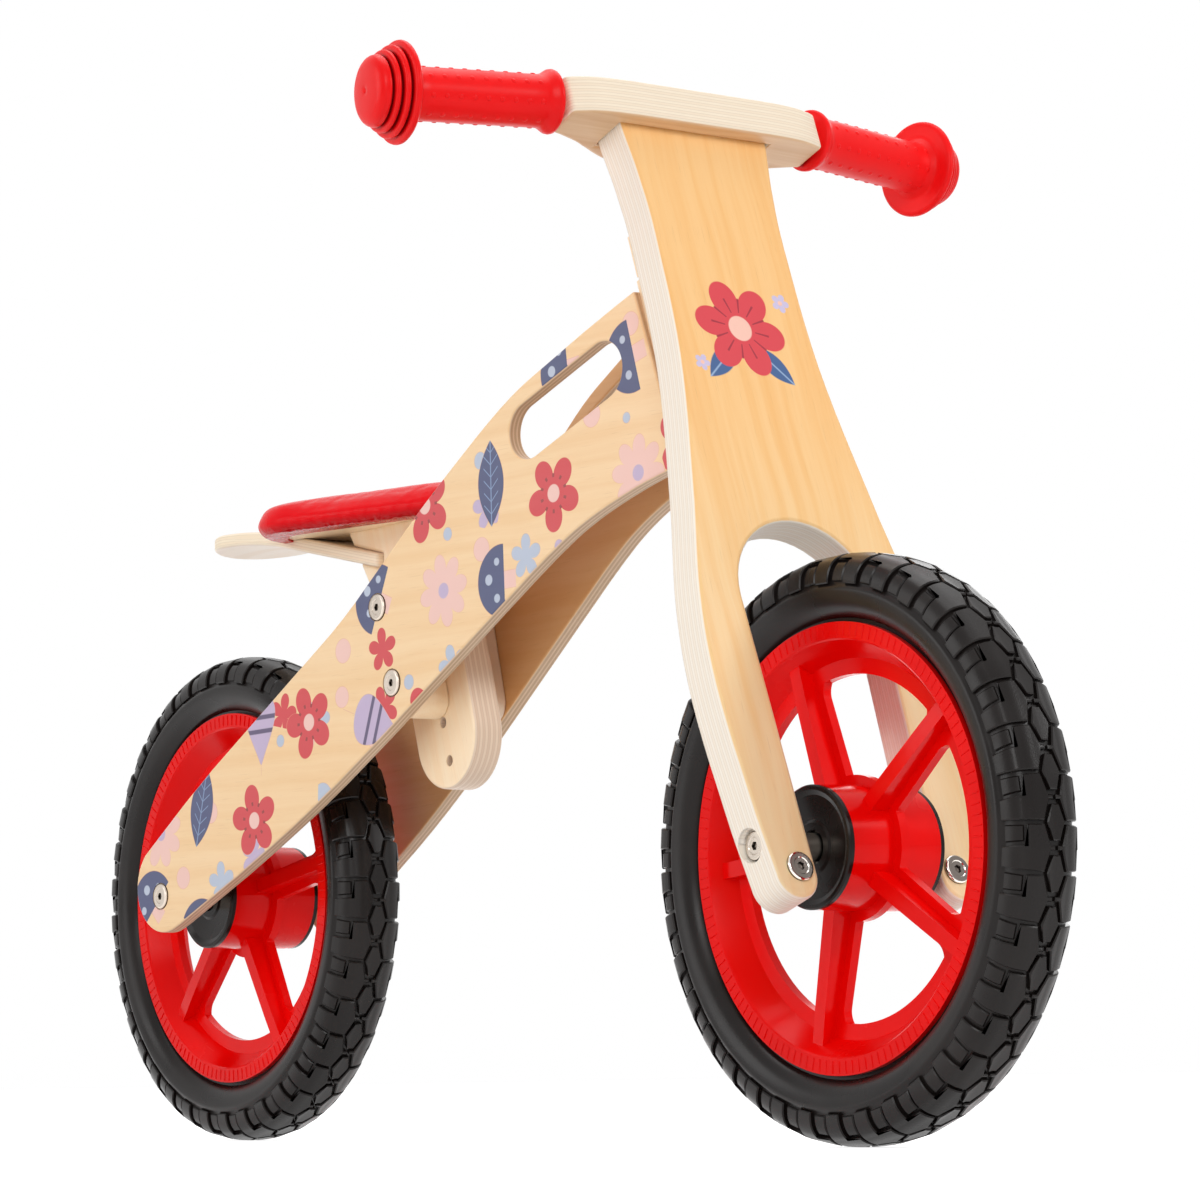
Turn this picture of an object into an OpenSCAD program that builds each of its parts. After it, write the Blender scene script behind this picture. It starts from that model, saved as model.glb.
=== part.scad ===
// Toddler's balance bike: plywood side panels, a plywood fork plate that turns
// on a long bolt, moulded wheels and a padded saddle on a height-adjustable post.
// Axes: +X is forward, +Y is the rider's left, +Z is up, origin on the ground midway between the wheels.

/* [Overall] */
// Distance between the wheel axles
wheelbase = 580; // [540:1:620]
// Angle of the fork from the vertical
fork_tilt = 19.5; // [16:0.5:22]

/* [Wheels] */
// Outside diameter of the tyre
tyre_d = 290; // [280:1:300]
// Width of the tyre
tyre_w = 41; // [36:0.5:45]
// Diameter over the rim flanges
rim_d = 221; // [212:1:226]
// Width over the rim flanges
rim_w = 30; // [27:0.5:33]
// Wall of the rim channel and its flanges
rim_wall = 3; // [2.5:0.1:4]
// Number of spokes
spoke_count = 5; // [4:1:7]
// Width of a spoke web
spoke_w = 17; // [14:0.5:22]
// Width of the rib on a spoke's right side
rib_w = 8; // [6:0.5:11]
// Thickness of the web that joins the hub and the rim
web_t = 5; // [4:0.5:8]
// Diameter of the hub barrel
hub_d = 61; // [54:1:66]
// Length over the hub caps
hub_len = 60; // [54:1:64]
// Thickness of a hub cap at its rim
cap_t = 3; // [2:0.5:5]

/* [Axles] */
// Diameter of the wheel axles
axle_d = 10; // [9:0.5:11]
// Outside diameter of a wheel bearing
bearing_d = 26; // [24:1:28]
// Width of a wheel bearing
bearing_w = 8; // [6:0.5:9]
// Outside diameter of the axle spacers
spacer_d = 14; // [13:0.5:16]

/* [Fork and handlebar] */
// Thickness of the fork plate
fork_t = 22; // [18:0.5:24]
// Half width of the fork plate where it enters the handlebar
fork_top = 48; // [44:0.5:52]
// Half width of the fork plate at its waist
fork_waist = 42.8; // [40:0.5:46]
// Half width of the fork plate beside the wheel
fork_bulge = 73.6; // [70:0.5:78]
// Radius of the arch over the front wheel
arch_r = 43; // [40:0.5:45]
// Height of the arch centre above the axle, along the fork
arch_rise = 130; // [124:1:140]
// Radius of the rounded fork feet
foot_r = 13; // [12:0.5:14]
// Height of the handlebar's underside above the axle, along the fork
bar_rise = 398.5; // [390:0.5:410]
// Thickness of the handlebar board
bar_t = 21.5; // [19:0.5:23]
// Half width of the board between the grips
bar_half = 81.6; // [78:0.1:90]
// Angle by which the grips sweep back
bar_sweep = 7.6; // [3:0.1:10]
// Diameter of the handlebar's round ends
rod_d = 16.5; // [15:0.5:17.5]
// Length of a grip's tube, from its collar to its flange
grip_len = 86; // [80:1:95]
// Diameter of a grip's tube
grip_d = 27.6; // [26:0.2:30]
// Diameter of a grip's safety flange
grip_flange_d = 53; // [48:1:56]

/* [Side panels] */
// Thickness of a side panel
panel_t = 9; // [8:0.5:10]
// Half width over the panels at the rear axle
rear_half = 61.5; // [60:0.5:64]
// Sideways taper of a panel, per millimetre of length
panel_taper = 0.1; // [0.094:0.002:0.104]
// Radius of the handle slot's ends
slot_r = 15.6; // [13:0.2:17]

/* [Steering head] */
// Distance from the back of the fork plate to the steering axis
head_offset = 19.6; // [19.6:0.1:24]
// Width of the head block
head_w = 30; // [26:1:30]
// Height of the head block, along the steering axis
head_len = 110; // [100:1:114]
// Diameter of the steering bolt
steer_d = 8; // [7:0.5:9]
// Height of each steering block, along the steering axis
block_len = 24; // [20:1:26]
// Width of the steering blocks
block_w = 28; // [26:1:30]

/* [Seat] */
// Thickness of the seat post
post_t = 19; // [17:0.5:21]
// Width of the seat post
post_w = 60; // [56:1:64]
// Backward lean of the seat post
post_lean = 16; // [12:0.5:18]
// Distance between the height-adjustment holes
hole_pitch = 22.6; // [21:0.2:24]
// Half width of the saddle at its widest
saddle_half = 57; // [50:1:62]
// Half width of the saddle's nose
nose_half = 22; // [20:0.5:24]
// Height of the cushion above the base board's underside
cushion_t = 17.8; // [16:0.2:22]
// Thickness of the saddle's base board
base_t = 6.5; // [5.5:0.5:7.5]
// Width of the tail strip at its rear end
tail_w = 60; // [50:1:64]
// Width of the tail strip where it enters the post
tail_front_w = 24; // [20:1:30]
// Thickness of the tail strip
tail_t = 8; // [6:0.5:9]

/* [Fasteners] */
// Diameter of the bolt heads
head_d = 15; // [14:0.5:16]
// Diameter of the frame bolts
bolt_d = 6; // [5.5:0.5:6.5]
// Outside diameter of the sleeve nuts
sleeve_d = 8.8; // [8.6:0.2:9.4]

/* [Hidden] */
$fn = 64;

wood = "burlywood";
ply = "wheat";
red = "red";
steel = "silver";
black = [0.12, 0.12, 0.13];

wheel_r = tyre_d / 2;
rear_x = -wheelbase / 2;
front_x = wheelbase / 2;
eps = 0.01;         // overrun of a cut past a face
far = 700;          // length of a cut or block that goes right past the bike
fit = 0.3;          // gap between a moving piece and its neighbour
run = 0.05;         // radial clearance of a running fit
bolt_hole_d = bolt_d + 0.4;
sleeve_hole_d = sleeve_d + 0.3;
curve_steps = 6;    // segments between two stations of a smooth outline

// Steering head, measured along the fork
head_drop = 168.5;   // head block's foot below the handlebar
head_rise = bar_rise - head_drop;
steer_x = -fork_t / 2 - head_offset;
head_back = 14;      // head block behind the steering axis
head_front = 13;     // head block ahead of the steering axis
tenon_len = 22;      // head block between the panels
tenon_margin = 8;    // head block beyond each end of its tenon
washer_t = 1.5;
bush_d = steer_d + 4;
bush_len = 20;
flange_t = 1.2;
head_mid = [wheelbase + steer_x * cos(fork_tilt) - (head_rise + head_len / 2) * sin(fork_tilt),
            wheel_r + steer_x * sin(fork_tilt) + (head_rise + head_len / 2) * cos(fork_tilt)];

// Side panel outline: stations [part of the way from the rear axle to the head, height above the line
// between them]. The ends run on past the head block, which cuts them off.
function station(v) = [v[0] * head_mid[0], v[1] + wheel_r + (head_mid[1] - wheel_r) * pow(v[0], 2)];
panel_top = [for (v = [[-0.036, 24.7], [0.09, 63], [0.241, 93], [0.39, 110.6], [0.544, 127.6],
                       [0.697, 126.3], [0.796, 109.7], [0.899, 84], [0.965, 63.4],
                       [1.053, 32.2]]) station(v)];
panel_low = [for (v = [[1.096, -97], [1.022, -65], [0.941, -32.7], [0.86, -7], [0.792, 7.5],
                       [0.678, 20.3], [0.476, 24.5], [0.329, 17], [0.195, 4.7],
                       [0.042, -17.4]]) station(v)];
tail_end = [2.5, wheel_r + 5.5];
tail_end_r = 27;
tail_arc = [for (a = [292.5 : -7.5 : 142.5]) tail_end + tail_end_r * [cos(a), sin(a)]];
slot_rear = station([0.749, 92.1]);
slot_front = station([0.883, 59.7]);
panel_angle = atan(panel_taper);

// Fork outline: stations [half width, height above the axle along the fork]
function up_fork(part) = arch_rise + part * (bar_rise - arch_rise);
foot_z = -18.5;
foot_y = fork_bulge - 9.1 - foot_r;
fork_side = [[fork_top, bar_rise + bar_t], [fork_top, bar_rise], [fork_waist + 1.8, up_fork(0.9)],
             [fork_waist, up_fork(0.764)], [fork_waist + 2.8, up_fork(0.503)],
             [fork_bulge - 15.8, up_fork(0.224)], [fork_bulge - 3.6, arch_rise],
             [fork_bulge, arch_rise - 50], [fork_bulge - 4.2, 20], [foot_y + foot_r, foot_z]];
foot_arc = [for (a = [-10 : -10 : -170]) [foot_y, foot_z] + foot_r * [cos(a), sin(a)]];
arch_arc = [for (a = [0 : 7.5 : 180]) [0, arch_rise] + arch_r * [cos(a), sin(a)]];
foot_bolt = [foot_y - 2.3, foot_z + 3.5];

// Handlebar board: stations [half width, front edge], then [half width, rear edge]
bar_front = [[0, 22], [bar_half * 0.52, 22], [bar_half * 0.81, 20.6], [bar_half, 16.7]];
bar_rear = [[bar_half, -5], [bar_half * 0.88, -6.6], [bar_half * 0.7, -10], [bar_half * 0.49, -16.5],
            [bar_half * 0.23, -20], [0, -21]];
rod_x = 3.6;
rod_rise = (bar_t - rod_d) / 2 - 0.3;   // round ends above the board's middle
bar_mid = bar_rise + bar_t / 2;
slot_gap = 0.6;

// Seat: everything is placed from the lowest hole of the post, which follows the panels
post_foot = station([0.512, -1.4]);
post_up = [-sin(post_lean), cos(post_lean)];
hole_count = 5;
seat_z = post_foot[1] + 139.4;     // underside of the saddle's base board
seat_nose = post_foot[0] + 24.6;   // front end of the saddle, ahead of the rear axle
seat_tail = seat_nose - 188;       // rear end of the saddle, ahead of the rear axle
base_inset = 5;                    // base board's edge inside the cushion's
lip_t = 1.2;                       // cover folded under the base board
tail_front = post_foot[0] - 67.4;  // front end of the tail strip, ahead of the rear axle
tail_back = post_foot[0] - 243.9;  // rear tip of the tail strip
tail_slope = 13;                   // angle of the tail strip's straight part
tail_dip = 6.7;                    // angle at which the rear end of the strip falls again
tail_bend_r = 278;                 // radius of the tail strip's bend
tail_bend = post_foot + [-149.1, 142.7];  // where the straight part meets the bend, on the upper face
spacer_w = 21;                     // width of a seat spacer
spacer_margin = 20;                // spacer beyond the centre of a bolt

// ---------- helpers ----------

function catmull(a, b, c, d, t) =
    0.5 * (2 * b + (c - a) * t + (2 * a - 5 * b + 4 * c - d) * t * t
           + (3 * b - a - 3 * c + d) * t * t * t);

// A smooth line through all the stations
function smooth(p, n = curve_steps) =
    [for (i = [0 : len(p) - 2], k = [0 : n - 1])
        catmull(p[max(i - 1, 0)], p[i], p[i + 1], p[min(i + 2, len(p) - 1)], k / n),
     p[len(p) - 1]];

function reversed(p) = [for (i = [len(p) - 1 : -1 : 0]) p[i]];
function mirrored(p) = [for (v = reversed(p)) [-v[0], v[1]]];

// Half distance between the panels' outer faces, x ahead of the rear axle
function outer_half(x) = rear_half - panel_taper * x;
function inner_half(x) = outer_half(x) - panel_t / cos(panel_angle);
function hole_at(i) = post_foot + post_up * hole_pitch * i;

lower_bolt = hole_at(2);
upper_bolt = hole_at(4);
bolt_places = [lower_bolt, upper_bolt];
rear_axle_place = [0, wheel_r];

module both_sides() {
    children();
    mirror([0, 1, 0]) children();
}

// Frame of the rear axle's side view: X forward, Z up, measured from the rear axle
module rear_frame() {
    translate([rear_x, 0, 0]) children();
}

// Frame of the fork: X is the plate's front, Z runs up along the fork from the axle
module fork_frame() {
    translate([front_x, 0, wheel_r]) rotate([0, -fork_tilt, 0]) children();
}

// Frame of a wheel: Z lies along the axle, towards the right side of the bike
module wheel_frame(x) {
    translate([x, 0, wheel_r]) rotate([90, 0, 0]) children();
}

// A prism with its side view in X and Z, centred on the middle of the bike
module side_prism(width) {
    rotate([90, 0, 0]) linear_extrude(height = width, center = true) children();
}

// A round bar across the bike, from y0 to y1, at a side-view place
module cross_rod(place, d, y0, y1) {
    translate([place[0], y1, place[1]]) rotate([90, 0, 0]) cylinder(d = d, h = y1 - y0);
}

// Wide flat head with a rounded rim and a hexagonal socket: it stands on z = 0
module bolt_head() {
    rim = 1.2;
    difference() {
        rotate_extrude()
            polygon(concat([[0, 0], [head_d / 2, 0]],
                    [for (a = [0 : 15 : 90]) [head_d / 2 - rim + rim * cos(a), 0.7 + rim * sin(a)]],
                    [[head_d / 2 - 3, 1.9], [head_d / 2 - 3.4, 1.5], [0, 1.5]]));
        translate([0, 0, 0.2]) cylinder(d = 4.6, h = 2, $fn = 6);
    }
}

// Bolt: head above z = 0, shank below
module bolt(len, d = bolt_d) {
    bolt_head();
    translate([0, 0, -len]) cylinder(d = d, h = len + eps);
}

// Sleeve nut: head above z = 0, hollow sleeve below
module sleeve_nut(len) {
    bolt_head();
    translate([0, 0, -len]) difference() {
        cylinder(d = sleeve_d, h = len + eps);
        translate([0, 0, -eps]) cylinder(d = bolt_d + 2 * run, h = len - 1);
    }
}

// ---------- frame ----------

module handle_slot() {
    hull() {
        translate(slot_rear) circle(r = slot_r);
        translate(slot_front) circle(r = slot_r);
    }
}

// Panel blank: z = 0 is the outer face, x runs forward from the rear axle
module panel_blank() {
    difference() {
        linear_extrude(height = panel_t)
            polygon(concat(smooth(panel_top), smooth(panel_low), tail_arc));
        translate([0, 0, -1]) linear_extrude(height = panel_t + 2) handle_slot();
    }
}

// Distance from the middle of the bike to the seats that are cut square in a leaning panel
spot_depth = 0.2;
function head_seat(place) = outer_half(place[0] + (head_d + 1) / 2) - spot_depth;
function spacer_seat(place) = inner_half(place[0] - (spacer_d + 1) / 2) + spot_depth;

module side_panel(hole_d) {
    rear_frame() difference() {
        translate([0, -rear_half, 0]) rotate([0, 0, panel_angle])
            translate([0, panel_t, 0]) rotate([90, 0, 0]) panel_blank();
        for (p = bolt_places) cross_rod(p, hole_d, -far, 0);
        cross_rod(rear_axle_place, bolt_hole_d, -far, 0);
        for (p = concat(bolt_places, [rear_axle_place]))
            cross_rod(p, head_d + 1, -head_seat(p) - panel_t, -head_seat(p));
        cross_rod(rear_axle_place, spacer_d + 1, -spacer_seat(rear_axle_place), 0);
        translate([-rear_x, 0, 0]) {
            head_cut();
            head_dowel_places() translate([0, -dowel_half, 0])
                rotate([90, 0, 0]) translate([0, 0, -50]) cylinder(d = dowel_d, h = 50);
        }
    }
}

module right_side_panel() {
    color(wood) side_panel(bolt_hole_d);
}

module left_side_panel() {
    color(wood) mirror([0, 1, 0]) side_panel(sleeve_hole_d);
}

// Frame of the steering axis, with its origin at the head block's foot
module steer_frame() {
    fork_frame() translate([steer_x, 0, head_rise]) children();
}

// Everything ahead of the panels' front ends
module head_cut() {
    steer_frame() translate([-head_back, -far / 2, -far / 2]) cube(far);
}

dowel_d = 8;
dowel_half = inner_half(head_mid[0] - head_back) + panel_t / 2;

module head_dowel_places() {
    for (z = [0.25, 0.5, 0.75] * head_len) steer_frame() translate([-head_back - 10, 0, z])
        rotate([0, fork_tilt, 0]) children();
}

module head_block() {
    color(ply) difference() {
        union() {
            steer_frame() translate([-head_back, -head_w / 2, 0])
                cube([head_back + head_front, head_w, head_len]);
            rear_frame() intersection() {
                linear_extrude(height = far)
                    polygon([for (v = [[-80, 1], [40, 1], [40, -1], [-80, -1]])
                        [head_mid[0] + v[0], v[1] * inner_half(head_mid[0] + v[0])]]);
                translate([-rear_x, 0, 0]) steer_frame()
                    translate([-head_back - tenon_len, -head_w, tenon_margin])
                        cube([tenon_len + 1, 2 * head_w, head_len - 2 * tenon_margin]);
            }
        }
        steer_frame() {
            translate([0, 0, -eps]) cylinder(d = bush_d, h = head_len + 1);
        }
        head_dowel_places() translate([0, head_w, 0]) rotate([90, 0, 0])
            cylinder(d = dowel_d, h = 2 * head_w);
    }
}

module head_dowels() {
    color(wood) head_dowel_places() translate([0, dowel_half, 0]) rotate([90, 0, 0])
        cylinder(d = dowel_d, h = 2 * dowel_half);
}

// Flanged bush, its flange above z = 0
module bush() {
    difference() {
        union() {
            cylinder(d = bush_d + 8, h = flange_t);
            translate([0, 0, -bush_len]) cylinder(d = bush_d, h = bush_len + eps);
        }
        translate([0, 0, -bush_len - eps]) cylinder(d = steer_d + 2 * run, h = bush_len + 4);
    }
}

module upper_steering_bush() {
    color(black) steer_frame() translate([0, 0, head_len]) bush();
}

module lower_steering_bush() {
    color(black) steer_frame() mirror([0, 0, 1]) bush();
}

// ---------- seat ----------

module post_outline() {
    across = [cos(post_lean), sin(post_lean)];
    top = [for (x = [-104.4, 2.6]) [post_foot[0] + x, seat_z]];
    foot = post_foot + post_up * 15;
    translate(foot) circle(r = post_w / 2);
    polygon([foot + across * post_w / 2, foot + across * post_w / 2 + post_up * 104, top[1], top[0],
             post_foot + [-83.4, 108.7], post_foot + [-65.4, 85.7],
             foot - across * post_w / 2 + post_up * 52, foot - across * post_w / 2]);
}

module seat_post() {
    color(wood) difference() {
        rear_frame() difference() {
            side_prism(post_t) difference() {
                post_outline();
                tail_profile();
            }
            for (i = [0 : hole_count - 1]) cross_rod(hole_at(i), bolt_hole_d, -30, 30);
        }
        saddle_screw_places() wood_screw(saddle_screw_len);
    }
}

// Tail strip side view: straight part, then a bend that ends in a straight fall. It grows by gap all round.
module tail_profile(gap = 0) {
    centre = tail_bend - tail_bend_r * [sin(tail_slope), cos(tail_slope)];
    top_r = tail_bend_r + gap;
    low_r = tail_bend_r - tail_t - gap;
    bends = [for (i = [0 : 10]) -tail_dip + i * (tail_slope + tail_dip) / 10];
    along = [cos(tail_slope), -sin(tail_slope)];
    end = centre + tail_bend_r * [-sin(tail_dip), cos(tail_dip)];
    fall = -[1, tan(tail_dip)] * (end[0] - tail_back + 1);
    top = [for (a = bends) centre + top_r * [sin(a), cos(a)]];
    low = [for (a = bends) centre + low_r * [sin(a), cos(a)]];
    polygon(concat([top[0] + fall], top,
            [for (v = [top[10], low[10]]) v + along * (tail_front - v[0] + gap) / cos(tail_slope)],
            reversed(low), [low[0] + fall]));
}

// Tapered plan with a round rear end
module tail_body(gap = 0) {
    half = tail_w / 2 + gap;
    mid = tail_back + tail_w / 2;
    rear_frame() intersection() {
        side_prism(tail_w + 10) tail_profile(gap);
        linear_extrude(height = far)
            polygon(concat([for (a = [90 : 5 : 270]) [mid + half * cos(a), half * sin(a)]],
                    [for (s = [-1, 1]) [tail_front + tail_t, s * (tail_front_w / 2 + gap)]]));
    }
}

module tail_strip() {
    color(ply) tail_body();
}

// Saddle plan: a wide elliptical rear that narrows to a round nose
function saddle_plan(inset = 0, waist = 0) =
    let (a = 46 - inset, h = saddle_half - inset - waist, n = nose_half - inset)
    concat([for (t = [78 : 6 : 282]) [seat_tail + 46 + a * cos(t), h * sin(t)]],
           [for (t = [-72 : 8 : 72]) [seat_nose - nose_half + n * cos(t), n * sin(t)]]);

// Frame of the saddle: z = 0 is the underside of its base board
module seat_frame() {
    rear_frame() translate([0, 0, seat_z]) children();
}

saddle_screw_len = 30;

// Frame of each saddle screw: its head is flush with the base board's top, Z points down
module saddle_screw_places() {
    seat_frame() for (x = [-33, -9])
        translate([post_foot[0] + x, 0, base_t]) mirror([0, 0, 1]) children();
}

module saddle_base() {
    color(ply) difference() {
        seat_frame() linear_extrude(height = base_t) polygon(saddle_plan(base_inset));
        saddle_screw_places() {
            wood_screw(saddle_screw_len);
            translate([0, 0, -2]) cylinder(d = 7.6, h = 2.3);
        }
        tail_body(0.3);
    }
}

// Padding over the base board, with the cover's edge folded under the board
module saddle_cushion() {
    color(red) difference() {
        seat_frame() hull() {
            translate([0, 0, -lip_t]) linear_extrude(height = 0.4) polygon(saddle_plan(3.5));
            translate([0, 0, 2.5]) linear_extrude(height = 4) polygon(saddle_plan());
            translate([0, 0, cushion_t - 5]) linear_extrude(height = 2) polygon(saddle_plan(4));
            translate([0, 0, cushion_t - 1]) linear_extrude(height = 1) polygon(saddle_plan(13));
        }
        seat_frame() linear_extrude(height = base_t) polygon(saddle_plan(base_inset));
        seat_frame() translate([0, 0, -2 * lip_t]) linear_extrude(height = 2 * lip_t + 1)
            polygon(saddle_plan(nose_half - post_t / 2 - 0.5, 8));
        tail_body(0.3);
    }
}

module saddle_screws() {
    color(steel) saddle_screw_places() wood_screw(saddle_screw_len);
}

// A bar with round ends that fills the gap between a panel and the post
module seat_spacer_outline() {
    reach = post_up * (spacer_margin - spacer_w / 2);
    hull() for (p = [lower_bolt - reach, upper_bolt + reach]) translate(p) circle(d = spacer_w);
}

module seat_spacer(hole_d) {
    rear_frame() difference() {
        intersection() {
            side_prism(4 * rear_half) seat_spacer_outline();
            linear_extrude(height = far)
                polygon([for (v = [[-60, 0], [60, 0], [60, 1], [-60, 1]]) let (x = post_foot[0] + v[0])
                    [x, -post_t / 2 - v[1] * (inner_half(x) - post_t / 2)]]);
        }
        for (p = bolt_places) cross_rod(p, hole_d, -far, 0);
    }
}

module right_seat_spacer() {
    color(wood) seat_spacer(bolt_hole_d);
}

module left_seat_spacer() {
    color(wood) mirror([0, 1, 0]) seat_spacer(sleeve_hole_d);
}

module seat_bolts() {
    color(steel) rear_frame() for (p = bolt_places)
        translate([p[0], -head_seat(p), p[1]]) rotate([90, 0, 0]) bolt(2 * head_seat(p) - 8);
}

module seat_sleeve_nuts() {
    color(steel) rear_frame() for (p = bolt_places)
        translate([p[0], head_seat(p), p[1]]) rotate([-90, 0, 0]) sleeve_nut(24);
}

// ---------- wheels ----------

axle_bolt_depth = 18;

// Axle with a threaded hole in each end
module axle(half) {
    difference() {
        cylinder(d = axle_d, h = 2 * half, center = true);
        for (s = [-1, 1]) translate([0, 0, s * half])
            cylinder(d = bolt_d, h = 2 * axle_bolt_depth, center = true);
    }
}

module axle_spacers(half) {
    from = hub_len / 2 - cap_t - 1 + fit;
    for (s = [0, 1]) mirror([0, 0, s]) translate([0, 0, from]) difference() {
        cylinder(d = spacer_d, h = half - from);
        translate([0, 0, -1]) cylinder(d = axle_d, h = half);
    }
}

rear_axle_half = spacer_seat(rear_axle_place);
rear_bolt_half = head_seat(rear_axle_place);

module rear_axle() {
    color(steel) wheel_frame(rear_x) axle(rear_axle_half);
}

module rear_axle_spacers() {
    color(steel) wheel_frame(rear_x) axle_spacers(rear_axle_half);
}

module rear_axle_bolts() {
    color(steel) wheel_frame(rear_x) for (s = [0, 1]) mirror([0, 0, s])
        translate([0, 0, rear_bolt_half]) bolt(rear_bolt_half - rear_axle_half + 15);
}

rim_r = rim_d / 2;
well_r = rim_r - 6.6;
window_outer = rim_r - 22;
window_inner = 35;
front_phase = 40;   // turn of each wheel at rest
rear_phase = 10;

module rim_section() {
    w = rim_w / 2;
    for (s = [0, 1]) mirror([0, s])
        polygon([[window_outer - 3, 0], [window_outer - 3, web_t / 2], [well_r - rim_wall - 7.5, web_t / 2],
                 [rim_r - 9, w - 0.8], [rim_r - 8.2, w], [rim_r, w], [rim_r, w - rim_wall],
                 [well_r, w - rim_wall], [well_r, 0]]);
}

module hub_section() {
    b = hub_len / 2 - cap_t;
    for (s = [0, 1]) mirror([0, s])
        polygon([[bearing_d / 2, 0], [bearing_d / 2, b - 1], [bearing_d / 2 + 3, b - 1],
                 [bearing_d / 2 + 4, web_t / 2], [hub_d / 2 - 3.5, web_t / 2],
                 [hub_d / 2 - 3, b], [hub_d / 2, b], [hub_d / 2 + 0.6, web_t / 2],
                 [window_inner + 1, web_t / 2], [window_inner + 1, 0]]);
}

// Window between two spokes: its outer corners are rounder than its inner ones
module window() {
    half = 180 / spoke_count;
    inner_r = 3;
    outer_r = 9;
    offset(r = inner_r) offset(delta = -inner_r) difference() {
        offset(r = outer_r) offset(delta = -outer_r) difference() {
            polygon(concat([[0, 0]], [for (i = [-4 : 4])
                2 * window_outer * [cos(i * half / 4), sin(i * half / 4)]]));
            difference() {
                circle(r = 3 * window_outer);
                circle(r = window_outer);
            }
            for (s = [-1, 1]) rotate(s * half) translate([0, -spoke_w / 2]) square([200, spoke_w]);
        }
        circle(r = window_inner);
    }
}

module wheel_body(phase) {
    difference() {
        union() {
            rotate_extrude($fn = 96) rim_section();
            rotate_extrude($fn = 96) hub_section();
            difference() {
                cylinder(r = window_outer, h = web_t, center = true);
                cylinder(r = window_inner, h = web_t + 1, center = true);
                for (i = [0 : spoke_count - 1])
                    rotate(phase + (i + 0.5) * 360 / spoke_count)
                        translate([0, 0, -web_t]) linear_extrude(height = 2 * web_t) window();
            }
            for (i = [0 : spoke_count - 1]) rotate(phase + i * 360 / spoke_count) spoke_rib();
        }
    }
}

// Tapered rib along a spoke's right side, highest at the hub
module spoke_rib() {
    rotate([90, 0, 0]) linear_extrude(height = rib_w, center = true)
        polygon([[hub_d / 2 - 2, 0], [hub_d / 2 - 2, 13.5], [window_outer - 8, 10.5],
                 [well_r - rim_wall - 2, 9], [well_r - rim_wall - 2, 0]]);
}

tyre_steps = 16;

// Tyre section: a rounded box over the rim, with a bead in the rim's channel
module tyre_section() {
    mid = (wheel_r + rim_r) / 2;
    half = (wheel_r - rim_r) / 2;
    w = rim_w / 2 - rim_wall;
    outer = [for (i = [0 : tyre_steps]) let (a = -62 + i * (62 + 90) / tyre_steps)
        [mid + half * sign(sin(a)) * pow(abs(sin(a)), 0.75), tyre_w / 2 * pow(abs(cos(a)), 0.75)]];
    low = outer[0];
    polygon(concat([[well_r, 0], [well_r, w], [rim_r, w], [rim_r, low[1]]], outer,
                   [for (v = reversed(outer)) [v[0], -v[1]]],
                   [[rim_r, -low[1]], [rim_r, -w], [well_r, -w]]));
}

module tyre() {
    rotate_extrude($fn = 96) tyre_section();
}

module bearing_pair() {
    b = hub_len / 2 - cap_t - 1;
    for (s = [0, 1]) mirror([0, 0, s]) translate([0, 0, b - bearing_w]) difference() {
        cylinder(d = bearing_d, h = bearing_w);
        translate([0, 0, -1]) cylinder(d = axle_d + 2 * run, h = bearing_w + 2);
        for (z = [-eps, bearing_w - 0.5]) translate([0, 0, z]) difference() {
            cylinder(d = bearing_d - 4, h = 0.5 + eps);
            translate([0, 0, -1]) cylinder(d = axle_d + 4, h = 3);
        }
    }
}

// Dished black caps on both ends of the hub barrel
module hub_cap_pair() {
    b = hub_len / 2 - cap_t;
    hole = spacer_d / 2 + 1.5;
    for (s = [0, 1]) mirror([0, 0, s]) translate([0, 0, b]) rotate_extrude($fn = 96)
        polygon([[hole, 0], [hub_d / 2, 0], [hub_d / 2, cap_t - 0.8], [hub_d / 2 - 0.8, cap_t],
                 [hub_d / 2 - 2.5, cap_t], [hub_d / 2 - 5, 1.8], [hole + 5, 1], [hole + 3.5, 1.8],
                 [hole, 1.8]]);
}

module front_wheel() { color(red) wheel_frame(front_x) wheel_body(front_phase); }
module rear_wheel() { color(red) wheel_frame(rear_x) wheel_body(rear_phase); }
module front_tyre() { color(black) wheel_frame(front_x) tyre(); }
module rear_tyre() { color(black) wheel_frame(rear_x) tyre(); }
module front_bearings() { color(steel) wheel_frame(front_x) bearing_pair(); }
module rear_bearings() { color(steel) wheel_frame(rear_x) bearing_pair(); }
module front_hub_caps() { color(black) wheel_frame(front_x) hub_cap_pair(); }
module rear_hub_caps() { color(black) wheel_frame(rear_x) hub_cap_pair(); }

// ---------- fork ----------

leg_inner = foot_y - foot_r + (arch_r - foot_y + foot_r) * (-foot_z) / (arch_rise - foot_z);
bore_half = 62.8;   // seat of the axle bolt heads in the fork's edges

module fork_outline() {
    side = concat(smooth(fork_side), foot_arc, [[foot_y - foot_r, foot_z]]);
    polygon(concat(side, arch_arc, mirrored(side)));
}

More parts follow.
